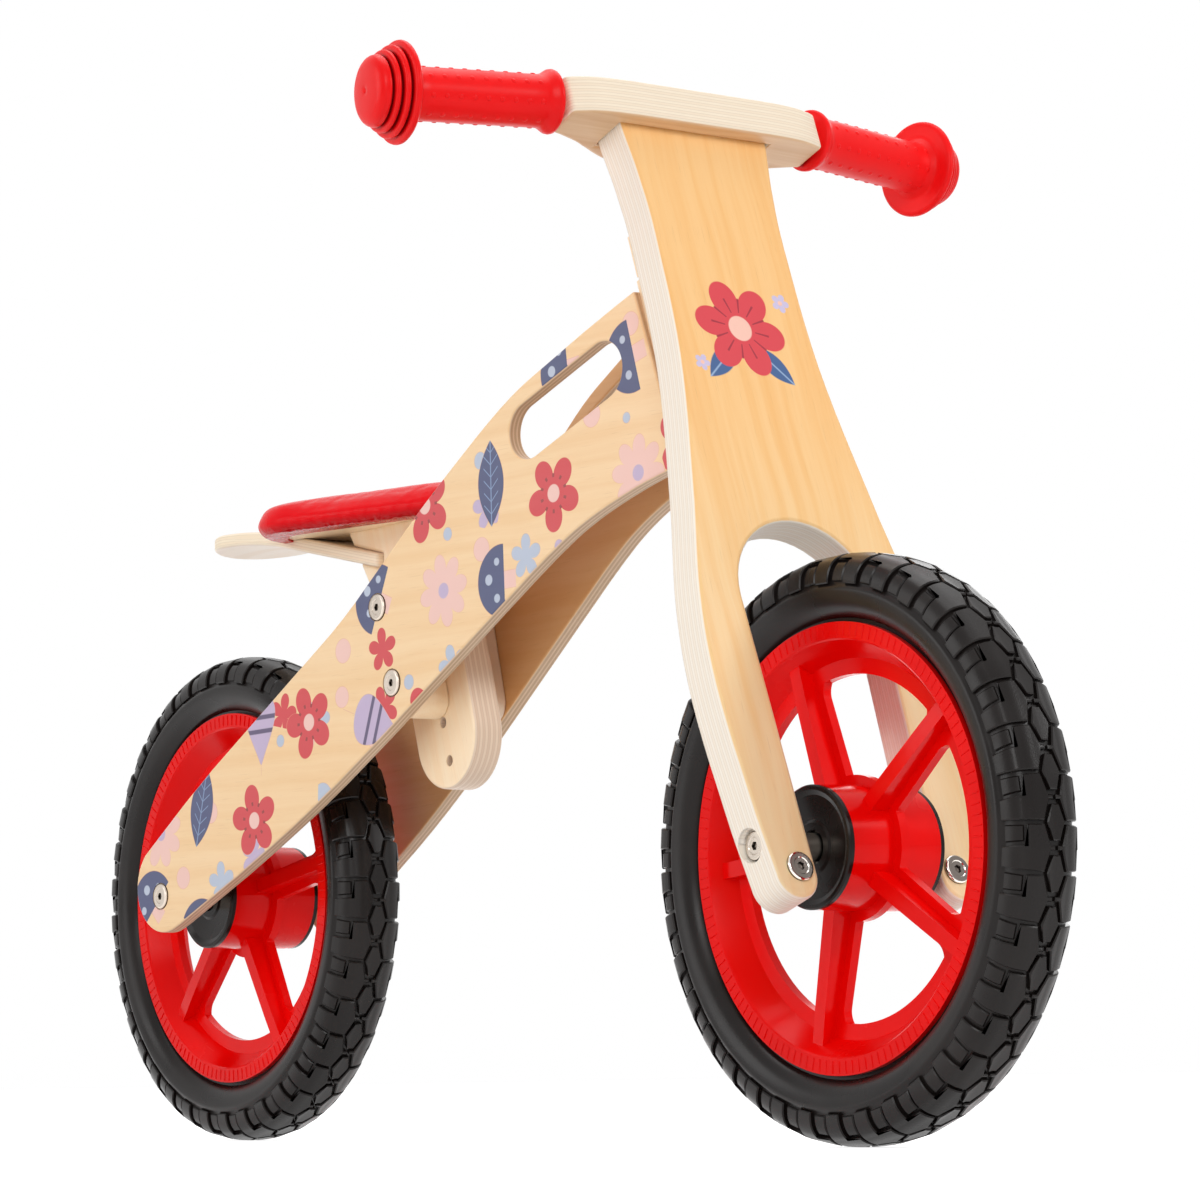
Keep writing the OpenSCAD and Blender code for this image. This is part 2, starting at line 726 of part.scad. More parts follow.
module fork_plate() {
    color(wood) fork_frame() difference() {
        rotate([90, 0, 90]) linear_extrude(height = fork_t, center = true) fork_outline();
        for (s = [-1, 1]) {
            rotate([s * 90, 0, 0]) {
                cylinder(d = bolt_d + 0.4, h = 90);
                translate([0, 0, bore_half]) cylinder(d = head_d + 2, h = 30);
                cylinder(d = axle_d + 0.1, h = leg_inner + axle_seat);
                cylinder(d = spacer_d + 1, h = leg_inner + 1);
            }
            translate([0, s * foot_bolt[0], foot_bolt[1]]) rotate([0, 90, 0])
                cylinder(d = sleeve_d + 0.2, h = 60, center = true);
            for (z = block_screw_z) translate([0, s * block_screw_y, z]) rotate([0, -90, 0])
                cylinder(d = block_screw_d, h = fork_t);
            bar_screw_place(s) cylinder(d = block_screw_d, h = bar_screw_len);
        }
    }
}

axle_seat = 6;      // how deep the front axle sits in each fork leg
front_axle_half = leg_inner + axle_seat;

module front_axle() {
    color(steel) wheel_frame(front_x) axle(front_axle_half);
}

module front_axle_spacers() {
    color(steel) wheel_frame(front_x) axle_spacers(leg_inner + 1);
}

module front_axle_bolts() {
    color(steel) wheel_frame(front_x) for (s = [0, 1]) mirror([0, 0, s])
        translate([0, 0, bore_half]) bolt(bore_half - front_axle_half + 15);
}

foot_nut_len = 14;

module fork_foot_bolts() {
    color(steel) fork_frame() both_sides() translate([fork_t / 2, foot_bolt[0], foot_bolt[1]])
        rotate([0, 90, 0]) bolt(fork_t - 3);
}

module fork_foot_nuts() {
    color(steel) fork_frame() both_sides() translate([-fork_t / 2, foot_bolt[0], foot_bolt[1]])
        rotate([0, -90, 0]) sleeve_nut(foot_nut_len);
}

block_screw_d = 4;
block_screw_y = 9;
lower_block_z = head_rise - flange_t - washer_t - block_len;
upper_block_z = head_rise + head_len + flange_t + washer_t;
block_screw_z = [lower_block_z + block_len / 2, upper_block_z + block_len / 2];
block_depth = head_offset + head_back;

module steering_block(z) {
    fork_frame() difference() {
        translate([-fork_t / 2 - block_depth, -block_w / 2, z]) cube([block_depth, block_w, block_len]);
        translate([steer_x, 0, z - 1]) cylinder(d = steer_d + 0.2, h = block_len + 2);
        for (s = [-1, 1]) translate([-fork_t / 2 - block_depth - 1, s * block_screw_y, z + block_len / 2])
            rotate([0, 90, 0]) {
                cylinder(d = block_screw_d, h = block_depth + 2);
                cylinder(d = 8, h = 4);
                translate([0, 0, 4]) wood_screw(block_depth);
            }
    }
}

module upper_steering_block() { color(ply) steering_block(upper_block_z); }
module lower_steering_block() { color(ply) steering_block(lower_block_z); }

// Countersunk wood screw: its head's top is at z = 0 and it points up
module wood_screw(len) {
    cylinder(d1 = 7.6, d2 = block_screw_d, h = 2.2);
    cylinder(d = block_screw_d, h = len);
}

module steering_block_screws() {
    color(steel) fork_frame() both_sides() for (z = block_screw_z)
        translate([-fork_t / 2 - block_depth + 3, block_screw_y, z]) rotate([0, 90, 0])
            difference() {
                wood_screw(block_depth + 8);
                translate([0, 0, -1]) cylinder(d = 2.6, h = 2.2, $fn = 6);
            }
}

bolt_top = upper_block_z + block_len + washer_t;
bolt_foot = lower_block_z - washer_t - 11;

module steering_bolt() {
    color(steel) fork_frame() translate([steer_x, 0, bolt_top]) {
        bolt_head();
        translate([0, 0, bolt_foot - bolt_top]) cylinder(d = steer_d, h = bolt_top - bolt_foot + eps);
    }
}

module steering_washers() {
    stack = [lower_block_z - washer_t, head_rise - flange_t - washer_t,
             head_rise + head_len + flange_t, upper_block_z + block_len];
    color(steel) fork_frame() for (z = stack) translate([steer_x, 0, z]) difference() {
        cylinder(d = 18, h = washer_t);
        translate([0, 0, -1]) cylinder(d = steer_d + 0.4, h = washer_t + 2);
    }
}

module steering_nut() {
    color(steel) fork_frame() translate([steer_x, 0, lower_block_z - washer_t - 8]) difference() {
        union() {
            cylinder(d = 15, h = 8, $fn = 6);
            translate([0, 0, -1.5]) cylinder(d = 11.5, h = 2);
        }
        translate([0, 0, -2]) cylinder(d = steer_d, h = 12);
    }
}

// ---------- handlebar ----------

grip_clear = 1.7;    // grip's collar beyond the board's end
bar_screw_len = 28;
bar_screw_y = 26;
bar_screw_start = -18;

// Frame of a screw driven forward through the board's back edge into the tenon
module bar_screw_place(s) {
    translate([bar_screw_start, s * bar_screw_y, bar_mid]) rotate([0, 90, 0]) children();
}

// Frame of the right grip: origin at the collar's open end, Z runs outwards
module grip_frame() {
    fork_frame() translate([rod_x, -bar_half - grip_clear, bar_mid + rod_rise]) rotate([0, 0, -bar_sweep])
        rotate([90, 0, 0]) children();
}

module bar_outline() {
    half = concat(smooth(bar_front), smooth(bar_rear));
    polygon([for (v = concat(half, mirrored(half))) [v[1], v[0]]]);
}

module handlebar() {
    rod_len = grip_len + 9;
    color(ply) difference() {
        union() {
            fork_frame() translate([0, 0, bar_rise]) linear_extrude(height = bar_t) bar_outline();
            both_sides() grip_frame() translate([0, 0, -6]) cylinder(d = rod_d, h = rod_len + 6);
        }
        fork_frame() {
            translate([-fork_t / 2 - slot_gap, -fork_top - 3, bar_rise - 1])
                cube([fork_t + 2 * slot_gap, 2 * fork_top + 6, bar_t + 2]);
            for (s = [-1, 1]) bar_screw_place(s) {
                cylinder(d = block_screw_d, h = bar_screw_len);
                translate([0, 0, -6]) cylinder(d = 8, h = 8.5);
            }
        }
    }
}

module handlebar_screws() {
    color(steel) fork_frame() for (s = [-1, 1]) bar_screw_place(s) difference() {
        wood_screw(bar_screw_len);
        translate([0, 0, -1]) cylinder(d = 2.6, h = 2.2, $fn = 6);
    }
}

// Grip: collar, tube, wide safety flange, three steps and a dimpled dome
module grip() {
    tube = grip_d / 2;
    fl = grip_flange_d / 2;
    rotate_extrude()
        polygon(concat([[rod_d / 2, 0], [16, 0], [16.8, 1.2], [16.8, 2.8], [15.6, 5], [tube, 8.5],
                 [tube, grip_len - 2.5], [tube + 2.4, grip_len - 1.6], [tube + 2.6, grip_len],
                 [fl - 2, grip_len - 0.6], [fl, grip_len + 1.2], [fl, grip_len + 3],
                 [fl - 2.6, grip_len + 4.6], [fl - 2.8, grip_len + 8], [fl - 5, grip_len + 8.8],
                 [fl - 5.2, grip_len + 12], [fl - 7.5, grip_len + 12.8]],
                [for (a = [0 : 15 : 75]) [11 + (fl - 19) * cos(a), grip_len + 15 + 5 * sin(a)]],
                [[8, grip_len + 20.4], [2, grip_len + 20.7], [1.4, grip_len + 19.6], [0, grip_len + 19.6],
                 [0, grip_len + 9 + 0.2], [rod_d / 2, grip_len + 9 + 0.2]]));
}

module right_grip() { color(red) grip_frame() grip(); }
module left_grip() { color(red) mirror([0, 1, 0]) grip_frame() grip(); }

right_side_panel();
left_side_panel();
head_block();
head_dowels();
upper_steering_bush();
lower_steering_bush();
seat_post();
right_seat_spacer();
left_seat_spacer();
seat_bolts();
seat_sleeve_nuts();
tail_strip();
saddle_base();
saddle_cushion();
saddle_screws();
rear_axle();
rear_axle_spacers();
rear_axle_bolts();
fork_plate();
handlebar();
handlebar_screws();
right_grip();
left_grip();
upper_steering_block();
lower_steering_block();
steering_block_screws();
steering_bolt();
steering_washers();
steering_nut();
front_axle();
front_axle_spacers();
front_axle_bolts();
fork_foot_bolts();
fork_foot_nuts();
front_wheel();
front_tyre();
front_bearings();
front_hub_caps();
rear_wheel();
rear_tyre();
rear_bearings();
rear_hub_caps();
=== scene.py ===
import math
from functools import partial

import bmesh
import bpy
from mathutils import Matrix, Vector


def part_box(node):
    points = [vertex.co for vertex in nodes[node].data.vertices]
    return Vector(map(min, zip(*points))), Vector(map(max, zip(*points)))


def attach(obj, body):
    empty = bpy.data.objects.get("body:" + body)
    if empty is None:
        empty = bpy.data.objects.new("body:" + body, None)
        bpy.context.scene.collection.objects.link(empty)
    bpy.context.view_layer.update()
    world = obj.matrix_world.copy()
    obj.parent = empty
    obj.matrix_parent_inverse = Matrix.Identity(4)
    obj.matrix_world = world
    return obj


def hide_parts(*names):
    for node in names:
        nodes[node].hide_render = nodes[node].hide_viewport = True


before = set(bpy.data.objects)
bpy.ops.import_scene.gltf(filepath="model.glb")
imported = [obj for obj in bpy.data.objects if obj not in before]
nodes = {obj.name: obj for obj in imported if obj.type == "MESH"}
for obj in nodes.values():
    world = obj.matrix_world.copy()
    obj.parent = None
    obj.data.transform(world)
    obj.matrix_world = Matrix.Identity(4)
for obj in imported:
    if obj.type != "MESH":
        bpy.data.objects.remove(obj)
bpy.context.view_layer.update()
scene = bpy.context.scene
scene.view_settings.view_transform = "Standard"
mm = 0.001

shot = {"place": (1.8604, -1.2811, 0.0408), "azimuth": 54.32, "pitch": -6.44, "roll": -0.84, "lens": 123.97}


def addObject(name, data):
    made = bpy.data.objects.new(name, data)
    scene.collection.objects.link(made)
    return made


def makeCamera():
    a, p, r = (math.radians(shot[key]) for key in ("azimuth", "pitch", "roll"))
    back = Vector((math.sin(a) * math.cos(p), -math.cos(a) * math.cos(p), math.sin(p)))
    right = (-back).cross(Vector((0, 0, 1))).normalized()
    up = right.cross(-back)
    turnedRight = math.cos(r) * right + math.sin(r) * up
    turnedUp = math.cos(r) * up - math.sin(r) * right
    data = bpy.data.cameras.new("camera")
    data.lens = shot["lens"]
    data.sensor_width = 36
    data.clip_start, data.clip_end = 0.05, 60
    camera = addObject("camera", data)
    turn = Matrix((turnedRight, turnedUp, back)).transposed().to_4x4()
    camera.matrix_world = Matrix.Translation(shot["place"]) @ turn
    scene.camera = camera


makeCamera()
print("camera placed")

# the bike's own frames, as in the construction
bike = {"wheelbase": 580 * mm, "wheelRadius": 145 * mm, "forkTilt": 19.5, "panelTaper": 0.1,
        "rearHalf": 61.5 * mm, "barRise": 398.5 * mm, "barThickness": 21.5 * mm, "forkThickness": 22 * mm,
        "panelThickness": 9 * mm, "postThickness": 19 * mm, "postLean": 16, "barHalf": 81.6 * mm,
        "gripClear": 1.7 * mm, "rodAhead": 3.6 * mm, "rodRise": 2.2 * mm, "barSweep": 7.6,
        "headMid": (456.02 * mm, 403.44 * mm), "postAlong": 0.512, "postSink": 1.4 * mm,
        "tailBend": (-149.1 * mm, 0, 142.7 * mm), "baseRise": 139.4 * mm}

frontHub = Vector((bike["wheelbase"] / 2, 0, bike["wheelRadius"]))
rearHub = Vector((-bike["wheelbase"] / 2, 0, bike["wheelRadius"]))
forkFrame = Matrix.Translation(frontHub) @ Matrix.Rotation(-math.radians(bike["forkTilt"]), 4, "Y")
panelFrame = (Matrix.Translation((rearHub.x, -bike["rearHalf"], 0))
              @ Matrix.Rotation(math.atan(bike["panelTaper"]), 4, "Z"))
gripFrame = (forkFrame @ Matrix.Translation((bike["rodAhead"], -bike["barHalf"] - bike["gripClear"],
                                             bike["barRise"] + bike["barThickness"] / 2 + bike["rodRise"]))
             @ Matrix.Rotation(-math.radians(bike["barSweep"]), 4, "Z") @ Matrix.Rotation(math.pi / 2, 4, "X"))
mirrorY = Matrix.Scale(-1, 4, (0, 1, 0))
headX, headZ = bike["headMid"]
postFoot = Vector((bike["postAlong"] * headX + rearHub.x, 0,
                   rearHub.z + (headZ - rearHub.z) * bike["postAlong"] ** 2 - bike["postSink"]))
tailBend = postFoot + Vector(bike["tailBend"])
baseLow = postFoot.z + bike["baseRise"]

# nodes go into the tree that was opened last
network = {"tree": None}


def put(value, socket):
    if isinstance(value, bpy.types.NodeSocket):
        network["tree"].links.new(value, socket)
    else:
        socket.default_value = value


def addNode(kind, inputs=None, **settings):
    made = network["tree"].nodes.new(kind)
    for key, value in settings.items():
        setattr(made, key, value)
    for key, value in (inputs or {}).items():
        put(value, made.inputs[key])
    return made


def calc(operation, *values, clamp=False):
    return addNode("ShaderNodeMath", dict(enumerate(values)), operation=operation, use_clamp=clamp).outputs[0]


times, over, plus, minus, scaledPlus, power = (partial(calc, operation) for operation in (
    "MULTIPLY", "DIVIDE", "ADD", "SUBTRACT", "MULTIPLY_ADD", "POWER"))
larger, smaller, above, below, magnitude, cosine = (partial(calc, operation) for operation in (
    "MAXIMUM", "MINIMUM", "GREATER_THAN", "LESS_THAN", "ABSOLUTE", "COSINE"))


def vector(operation, *values):
    return addNode("ShaderNodeVectorMath", dict(enumerate(values)), operation=operation).outputs[0]


def split(place):
    return addNode("ShaderNodeSeparateXYZ", {0: place}).outputs


def stretched(place, scale, turn=(0, 0, 0)):
    return addNode("ShaderNodeMapping", {"Vector": place, "Rotation": turn, "Scale": scale}).outputs[0]


def noise(place, scale, detail, **more):
    return addNode("ShaderNodeTexNoise", {"Vector": place, "Scale": scale, "Detail": detail, **more}).outputs["Fac"]


def smoothStep(value, low, high):
    return addNode("ShaderNodeMapRange", {"Value": value, "From Min": low, "From Max": high},
                   interpolation_type="SMOOTHSTEP").outputs[0]


def mixColors(factor, a, b, blend="MIX"):
    return addNode("ShaderNodeMix", {0: factor, 6: a, 7: b}, data_type="RGBA", blend_type=blend).outputs[2]


def tinted(color, tint):
    return mixColors(1.0, color, tint, "MULTIPLY")


def newGroup(name, inputs, outputs, kind="Shader"):
    tree = network["tree"] = bpy.data.node_groups.new(name, kind + "NodeTree")
    for label, sort, value in inputs:
        socket = tree.interface.new_socket(label, in_out="INPUT", socket_type="NodeSocket" + sort)
        if value is not None:
            socket.default_value = value
    for label, sort in outputs:
        tree.interface.new_socket(label, in_out="OUTPUT", socket_type="NodeSocket" + sort)
    return tree, addNode("NodeGroupInput").outputs, addNode("NodeGroupOutput").inputs


def send(out, *values):
    for value, socket in zip(values, out):
        put(value, socket)


def useGroup(group, inputs):
    made = addNode("ShaderNodeGroup", node_tree=group)
    for key, value in inputs.items():
        put(value, made.inputs[key])
    return made.outputs


def startMaterial(name, **sockets):
    made = bpy.data.materials.new(name)
    made.use_nodes = True
    network["tree"] = made.node_tree
    shader = made.node_tree.nodes["Principled BSDF"]
    for key, value in sockets.items():
        shader.inputs[key.replace("_", " ")].default_value = value
    return made, shader, addNode("ShaderNodeTexCoord").outputs["Object"]


def cover(shader, color, rough, height, distance, strength=0.7):
    put(color, shader.inputs["Base Color"])
    put(rough, shader.inputs["Roughness"])
    bump = addNode("ShaderNodeBump", {"Height": height, "Distance": distance, "Strength": strength})
    put(bump.outputs[0], shader.inputs["Normal"])


def shown(red, green, blue):
    # a colour as it looks on screen
    return tuple((c / 255 / 12.92 if c <= 10 else ((c / 255 + 0.055) / 1.055) ** 2.4)
                 for c in (red, green, blue)) + (1.0,)


def joinLoops(bm, here, there, closed=True):
    # a band of faces between two loops of points
    for k in range(len(here) if closed else len(here) - 1):
        n = (k + 1) % len(here)
        bm.faces.new((here[k], there[k], there[n], here[n]))


def toMesh(bm, name, outward=True):
    if outward:
        bmesh.ops.recalc_face_normals(bm, faces=bm.faces)
    mesh = bpy.data.meshes.new(name)
    bm.to_mesh(mesh)
    bm.free()
    return mesh


def smoothed(mesh, sharpFrom):
    mesh.shade_smooth()
    mesh.set_sharp_from_angle(angle=math.radians(sharpFrom))
    return mesh


room = {"world": 0.42, "floor": (0.82, 0.82, 0.82, 1), "speck": (0.79, 0.79, 0.79, 1), "centre": (0, 0, 0.28),
        "lamps": {"key": {"place": (1.9, -1.6, 1.4), "size": 1.2, "power": 19},
                  "side": {"place": (-1.0, -2.2, 0.9), "size": 1.6, "power": 15},
                  "top": {"place": (-0.2, 0.2, 2.2), "size": 1.8, "power": 16},
                  "back": {"place": (-1.4, 1.8, 1.4), "size": 1.4, "power": 8},
                  "glint": {"place": (1.5, 0.75, 1.15), "size": 0.5, "power": 7.5}}}


def seenDirectly():
    path = addNode("ShaderNodeLightPath").outputs
    return larger(path["Is Camera Ray"], larger(path["Is Glossy Ray"], path["Is Transmission Ray"]))


def makeRoom():
    world = bpy.data.worlds.new("studio")
    world.use_nodes = True
    network["tree"] = world.node_tree
    world.node_tree.nodes.clear()
    soft, white = (addNode("ShaderNodeBackground", {"Color": (1, 1, 1, 1), "Strength": strength}).outputs[0]
                   for strength in (room["world"], 1.0))
    mixed = addNode("ShaderNodeMixShader", {0: seenDirectly(), 1: soft, 2: white})
    addNode("ShaderNodeOutputWorld", {0: mixed.outputs[0]})
    scene.world = world
    for name, lamp in room["lamps"].items():
        data = bpy.data.lights.new(name, "AREA")
        data.shape, data.size, data.energy = "DISK", lamp["size"], lamp["power"]
        light = addObject(name, data)
        light.location = lamp["place"]
        light.rotation_euler = (Vector(room["centre"]) - light.location).to_track_quat("-Z", "Y").to_euler()


def makeFloor():
    bm = bmesh.new()
    rings, count = (0.6, 1.2, 3.0, 9.0), 64
    for radius in rings:
        bmesh.ops.create_circle(bm, segments=count, radius=radius)
    bm.verts.ensure_lookup_table()
    loops = [bm.verts[i * count:(i + 1) * count] for i in range(len(rings))]
    bm.faces.new(loops[0])
    for inner, outer in zip(loops, loops[1:]):
        joinLoops(bm, inner, outer)
    mesh = toMesh(bm, "floor")
    made, shader, where = startMaterial("palePaper")
    speck = noise(where, 260.0, 3.0)
    shade = mixColors(speck, room["floor"], room["speck"])
    cover(shader, shade, 0.75, speck, 0.0001, 0.3)
    # seen directly it is white, apart from the object's shadow
    put(shade, shader.inputs["Emission Color"])
    put(seenDirectly(), shader.inputs["Emission Strength"])
    mesh.materials.append(made)
    floor = addObject("floor", mesh)


makeRoom()
makeFloor()
print("room lit")

skinOutputs = [("Color", "Color"), ("Roughness", "Float"), ("Height", "Float")]


def makePlyLayers():
    group, given, out = newGroup("plyLayers", [
        ("Board", "Vector", None), ("Thickness", "Float", 0.009), ("Plies", "Float", 7.0),
        ("Face Light", "Color", shown(250, 214, 160)), ("Face Dark", "Color", shown(236, 190, 124)),
        ("Ply Light", "Color", shown(240, 224, 200)), ("Ply Dark", "Color", shown(205, 170, 130)),
        ("Figure", "Float", 1.0)], skinOutputs)
    board = given["Board"]
    through = over(split(board)[2], given["Thickness"])
    # long veneer streaks, with a slow wander of the grain
    wander = noise(board, 9.0, 2.0)
    moved = vector("ADD", board, vector("MULTIPLY", wander.node.outputs["Color"], (0.0, 0.012, 0.0)))
    streaks = noise(stretched(moved, (3.2, 95.0, 60.0)), 1.0, 5.0, Roughness=0.62)
    pores = noise(stretched(board, (55.0, 1500.0, 1500.0)), 1.0, 2.0)
    figure = times(smoothStep(streaks, 0.33, 0.68), given["Figure"])
    faceColor = mixColors(figure, given["Face Light"], given["Face Dark"])
    faceColor = mixColors(times(smoothStep(pores, 0.62, 0.74), 0.16), faceColor, shown(176, 128, 78))
    # plies: light with the grain, darker end grain between them, and a thin glue line at each joint
    depth = plus(times(through, given["Plies"]), times(minus(wander, 0.5), 0.25))
    odd = calc("FLOORED_MODULO", calc("FLOOR", depth), 2.0)
    part = calc("FRACT", depth)
    glue = larger(smoothStep(part, 0.12, 0.02), smoothStep(part, 0.88, 0.98))
    fibres = noise(stretched(board, (45.0, 45.0, 5200.0)), 1.0, 3.0)
    plyTone = scaledPlus(fibres, 0.5, scaledPlus(odd, 0.38, -0.12), clamp=True)
    edgeColor = mixColors(plyTone, given["Ply Light"], given["Ply Dark"])
    edgeColor = mixColors(times(glue, 0.28), edgeColor, shown(150, 110, 74))
    veneer = times(smaller(through, minus(1.0, through)), given["Thickness"])
    inEdge = smoothStep(veneer, 0.0004, 0.0008)
    rough = scaledPlus(streaks, 0.16, scaledPlus(inEdge, 0.14, 0.34))
    height = minus(scaledPlus(pores, 0.25, times(fibres, inEdge)), times(glue, times(inEdge, 0.6)))
    send(out, mixColors(inEdge, faceColor, edgeColor), rough, height)
    return group


def makeMouldSkin():
    # fine moulded or rubbed skin: mottled roughness, faint handling marks and a little dust
    group, given, out = newGroup("mouldSkin", [
        ("Place", "Vector", None), ("Color", "Color", (0.5, 0.5, 0.5, 1)), ("Dust", "Color", (0.6, 0.55, 0.5, 1)),
        ("Grain", "Float", 900.0), ("Smooth", "Float", 0.2), ("Worn", "Float", 0.4), ("Dusty", "Float", 0.05)],
        skinOutputs)
    place = given["Place"]
    patches = noise(place, 22.0, 4.0)
    grain = noise(place, given["Grain"], 2.0)
    scratches = noise(stretched(place, (40.0, 900.0, 40.0), (0.5, 0.3, 0.9)), 1.0, 3.0)
    mark = times(smoothStep(scratches, 0.64, 0.74), smoothStep(patches, 0.5, 0.7))
    amount = plus(smoothStep(patches, 0.35, 0.75), times(mark, 0.5), clamp=True)
    rough = scaledPlus(amount, minus(given["Worn"], given["Smooth"]), given["Smooth"])
    shade = scaledPlus(patches, 0.22, 0.89)
    tone = addNode("ShaderNodeCombineColor", {0: shade, 1: shade, 2: shade})
    dust = times(smoothStep(patches, 0.45, 0.8), given["Dusty"])
    color = mixColors(dust, tinted(given["Color"], tone.outputs[0]), given["Dust"])
    send(out, color, rough, scaledPlus(mark, -0.4, grain))
    return group


def makeGardenPrint():
    # flowers, leaves, striped drops, clouds and arcs, one to a cell and each turned its own way
    group, given, out = newGroup("gardenPrint", [("Board", "Vector", None), ("Cell", "Float", 0.054),
                                                 ("Shift", "Vector", None)], [("Color", "Color"), ("Mask", "Float")])
    scaled = addNode("ShaderNodeVectorMath", {0: given["Board"], 3: over(1.0, given["Cell"])}, operation="SCALE")
    place = vector("ADD", vector("MULTIPLY", scaled.outputs[0], (1, 1, 0)), given["Shift"])

    def cells(scale, jitter, turnBy):
        tiles = addNode("ShaderNodeTexVoronoi", {"Vector": place, "Scale": scale, "Randomness": jitter},
                        voronoi_dimensions="2D").outputs
        chance = addNode("ShaderNodeSeparateColor", {0: tiles["Color"]}).outputs
        turned = addNode("ShaderNodeVectorRotate", {
            "Vector": vector("SUBTRACT", place, tiles["Position"]),
            "Angle": scaledPlus(chance[1], 6.283, turnBy)}, rotation_type="Z_AXIS").outputs[0]
        x, y, z = split(turned)
        return x, y, vector("LENGTH", turned).node.outputs["Value"], calc("ARCTAN2", y, x), chance[0], chance[2]

    def under(value, limit, soft=0.006):
        return smoothStep(minus(value, limit), soft, -soft)

    def between(value, low, high):
        return times(above(value, low), below(value, high))

    def disc(across, up, size):
        return under(calc("SQRT", plus(power(minus(x, across), 2.0), power(minus(y, up), 2.0))), size)

    def petals(count, inner, reach):
        wave = magnitude(cosine(times(angle, count / 2)))
        return under(radius, scaledPlus(power(wave, 0.7), reach, inner))

    def band(value, middle, half):
        return under(magnitude(minus(value, middle)), half)

    coralInk, navyInk, lilacInk = shown(206, 46, 70), shown(36, 66, 118), shown(190, 174, 208)
    pinkInk, blueInk = shown(240, 198, 190), shown(180, 194, 216)
    color, mask = coralInk, None

    def stamp(tint, *shapes):
        nonlocal color, mask
        shape = shapes[0]
        for other in shapes[1:]:
            shape = times(shape, other)
        color = tint if mask is None else mixColors(shape, color, tint)
        mask = shape if mask is None else larger(mask, shape)

    x, y, radius, angle, kind, other = cells(1.0, 0.42, 0.0)
    upright = magnitude(y)
    # five-petalled coral flowers with a pale eye and dots
    coral = between(kind, -0.1, 0.26)
    stamp(coralInk, coral, petals(5, 0.17, 0.22))
    stamp(pinkInk, coral, under(radius, 0.09))
    stamp(shown(140, 20, 46), coral, band(radius, 0.18, 0.02), smoothStep(cosine(times(angle, 10.0)), 0.55, 0.8))
    # navy leaves with pale veins
    width = scaledPlus(power(over(x, 0.44), 2.0), -0.2, 0.2)
    leaf = times(between(kind, 0.26, 0.36), under(upright, width))
    stamp(navyInk, leaf)
    veins = magnitude(minus(calc("FRACT", times(minus(x, times(upright, 0.9)), 8.0)), 0.5))
    stamp(shown(120, 150, 192), leaf, larger(under(upright, 0.007), times(under(veins, 0.05, 0.03),
                                                                        below(upright, 0.11))))
    # navy toadstool caps with pale dots
    dome = between(kind, 0.36, 0.50)
    stamp(pinkInk, dome, under(magnitude(x), 0.09), below(y, -0.1), above(y, -0.3))
    stamp(navyInk, dome, disc(0.0, -0.08, 0.37), above(y, -0.12))
    for across, up, size in ((-0.17, 0.0, 0.045), (0.03, 0.12, 0.055), (0.2, -0.01, 0.04)):
        stamp(blueInk, dome, disc(across, up, size))
    # lilac drops with two dark bands
    taper = calc("SQRT", larger(0.0, minus(1.0, power(over(x, 0.38), 2.0))))
    drop = times(between(kind, 0.50, 0.64), under(upright, times(taper, scaledPlus(x, -0.46, 0.22))))
    stamp(lilacInk, drop)
    stamp(shown(70, 66, 112), drop, larger(band(x, -0.13, 0.024), band(x, 0.02, 0.024)))
    # pale clouds
    puffs = larger(larger(disc(-0.2, -0.02, 0.16), disc(0.0, 0.07, 0.21)), disc(0.21, -0.02, 0.17))
    stamp(mixColors(above(other, 0.5), blueInk, pinkInk), between(kind, 0.64, 0.80), puffs, above(y, -0.10))
    # pale pink daisies with a lilac eye
    daisy = between(kind, 0.80, 0.93)
    stamp(pinkInk, daisy, petals(8, 0.22, 0.16))
    stamp(lilacInk, daisy, under(radius, 0.08))
    # thin brown arcs
    stamp(shown(128, 88, 60), between(kind, 0.93, 1.1), band(radius, 0.3, 0.009), between(angle, -1.9, 0.9))
    # small accents in the gaps
    x, y, radius, angle, kind, other = cells(1.75, 0.7, 1.0)
    clear = minus(1.0, mask)
    spotTint = mixColors(above(other, 0.6), blueInk, pinkInk)
    stamp(mixColors(below(other, 0.12), spotTint, coralInk), clear, below(kind, 0.84), above(kind, 0.4),
          under(radius, scaledPlus(other, 0.1, 0.035)))
    starTint = mixColors(above(other, 0.45), coralInk, blueInk)
    stamp(mixColors(above(other, 0.75), starTint, lilacInk), clear, above(kind, 0.84), petals(5, 0.08, 0.15))
    send(out, color, mask)
    return group


gardenPrint = makeGardenPrint()
plyLayers = makePlyLayers()
mouldSkin = makeMouldSkin()


def boardCoords():
    return addNode("ShaderNodeAttribute", attribute_name="board").outputs["Vector"]


def plywood(name, look, lift=None):
    # lift: the height of a level board's underside, where it has no coordinates of its own
    made, shader, where = startMaterial(name, Coat_Weight=0.25, Coat_Roughness=0.3)
    board = vector("SUBTRACT", where, (0, 0, lift)) if lift else boardCoords()
    layers = useGroup(plyLayers, {"Board": board, **look})
    cover(shader, layers["Color"], layers["Roughness"], layers["Height"], 0.00012)
    return made


# painted shade: an ambient-occlusion mask, low in corners, creases and sockets, by which colour is darkened there
def hollowShadeMask(reach, low, high):
    hollow = addNode("ShaderNodeAmbientOcclusion", {"Distance": reach}, samples=8)
    return smoothStep(hollow.outputs["AO"], low, high)


def skin(color, smooth, worn, grain, dusty=0.0, dust=(0.6, 0.55, 0.5)):
    return {"Color": (*color, 1), "Smooth": smooth, "Worn": worn, "Grain": grain, "Dusty": dusty, "Dust": (*dust, 1)}


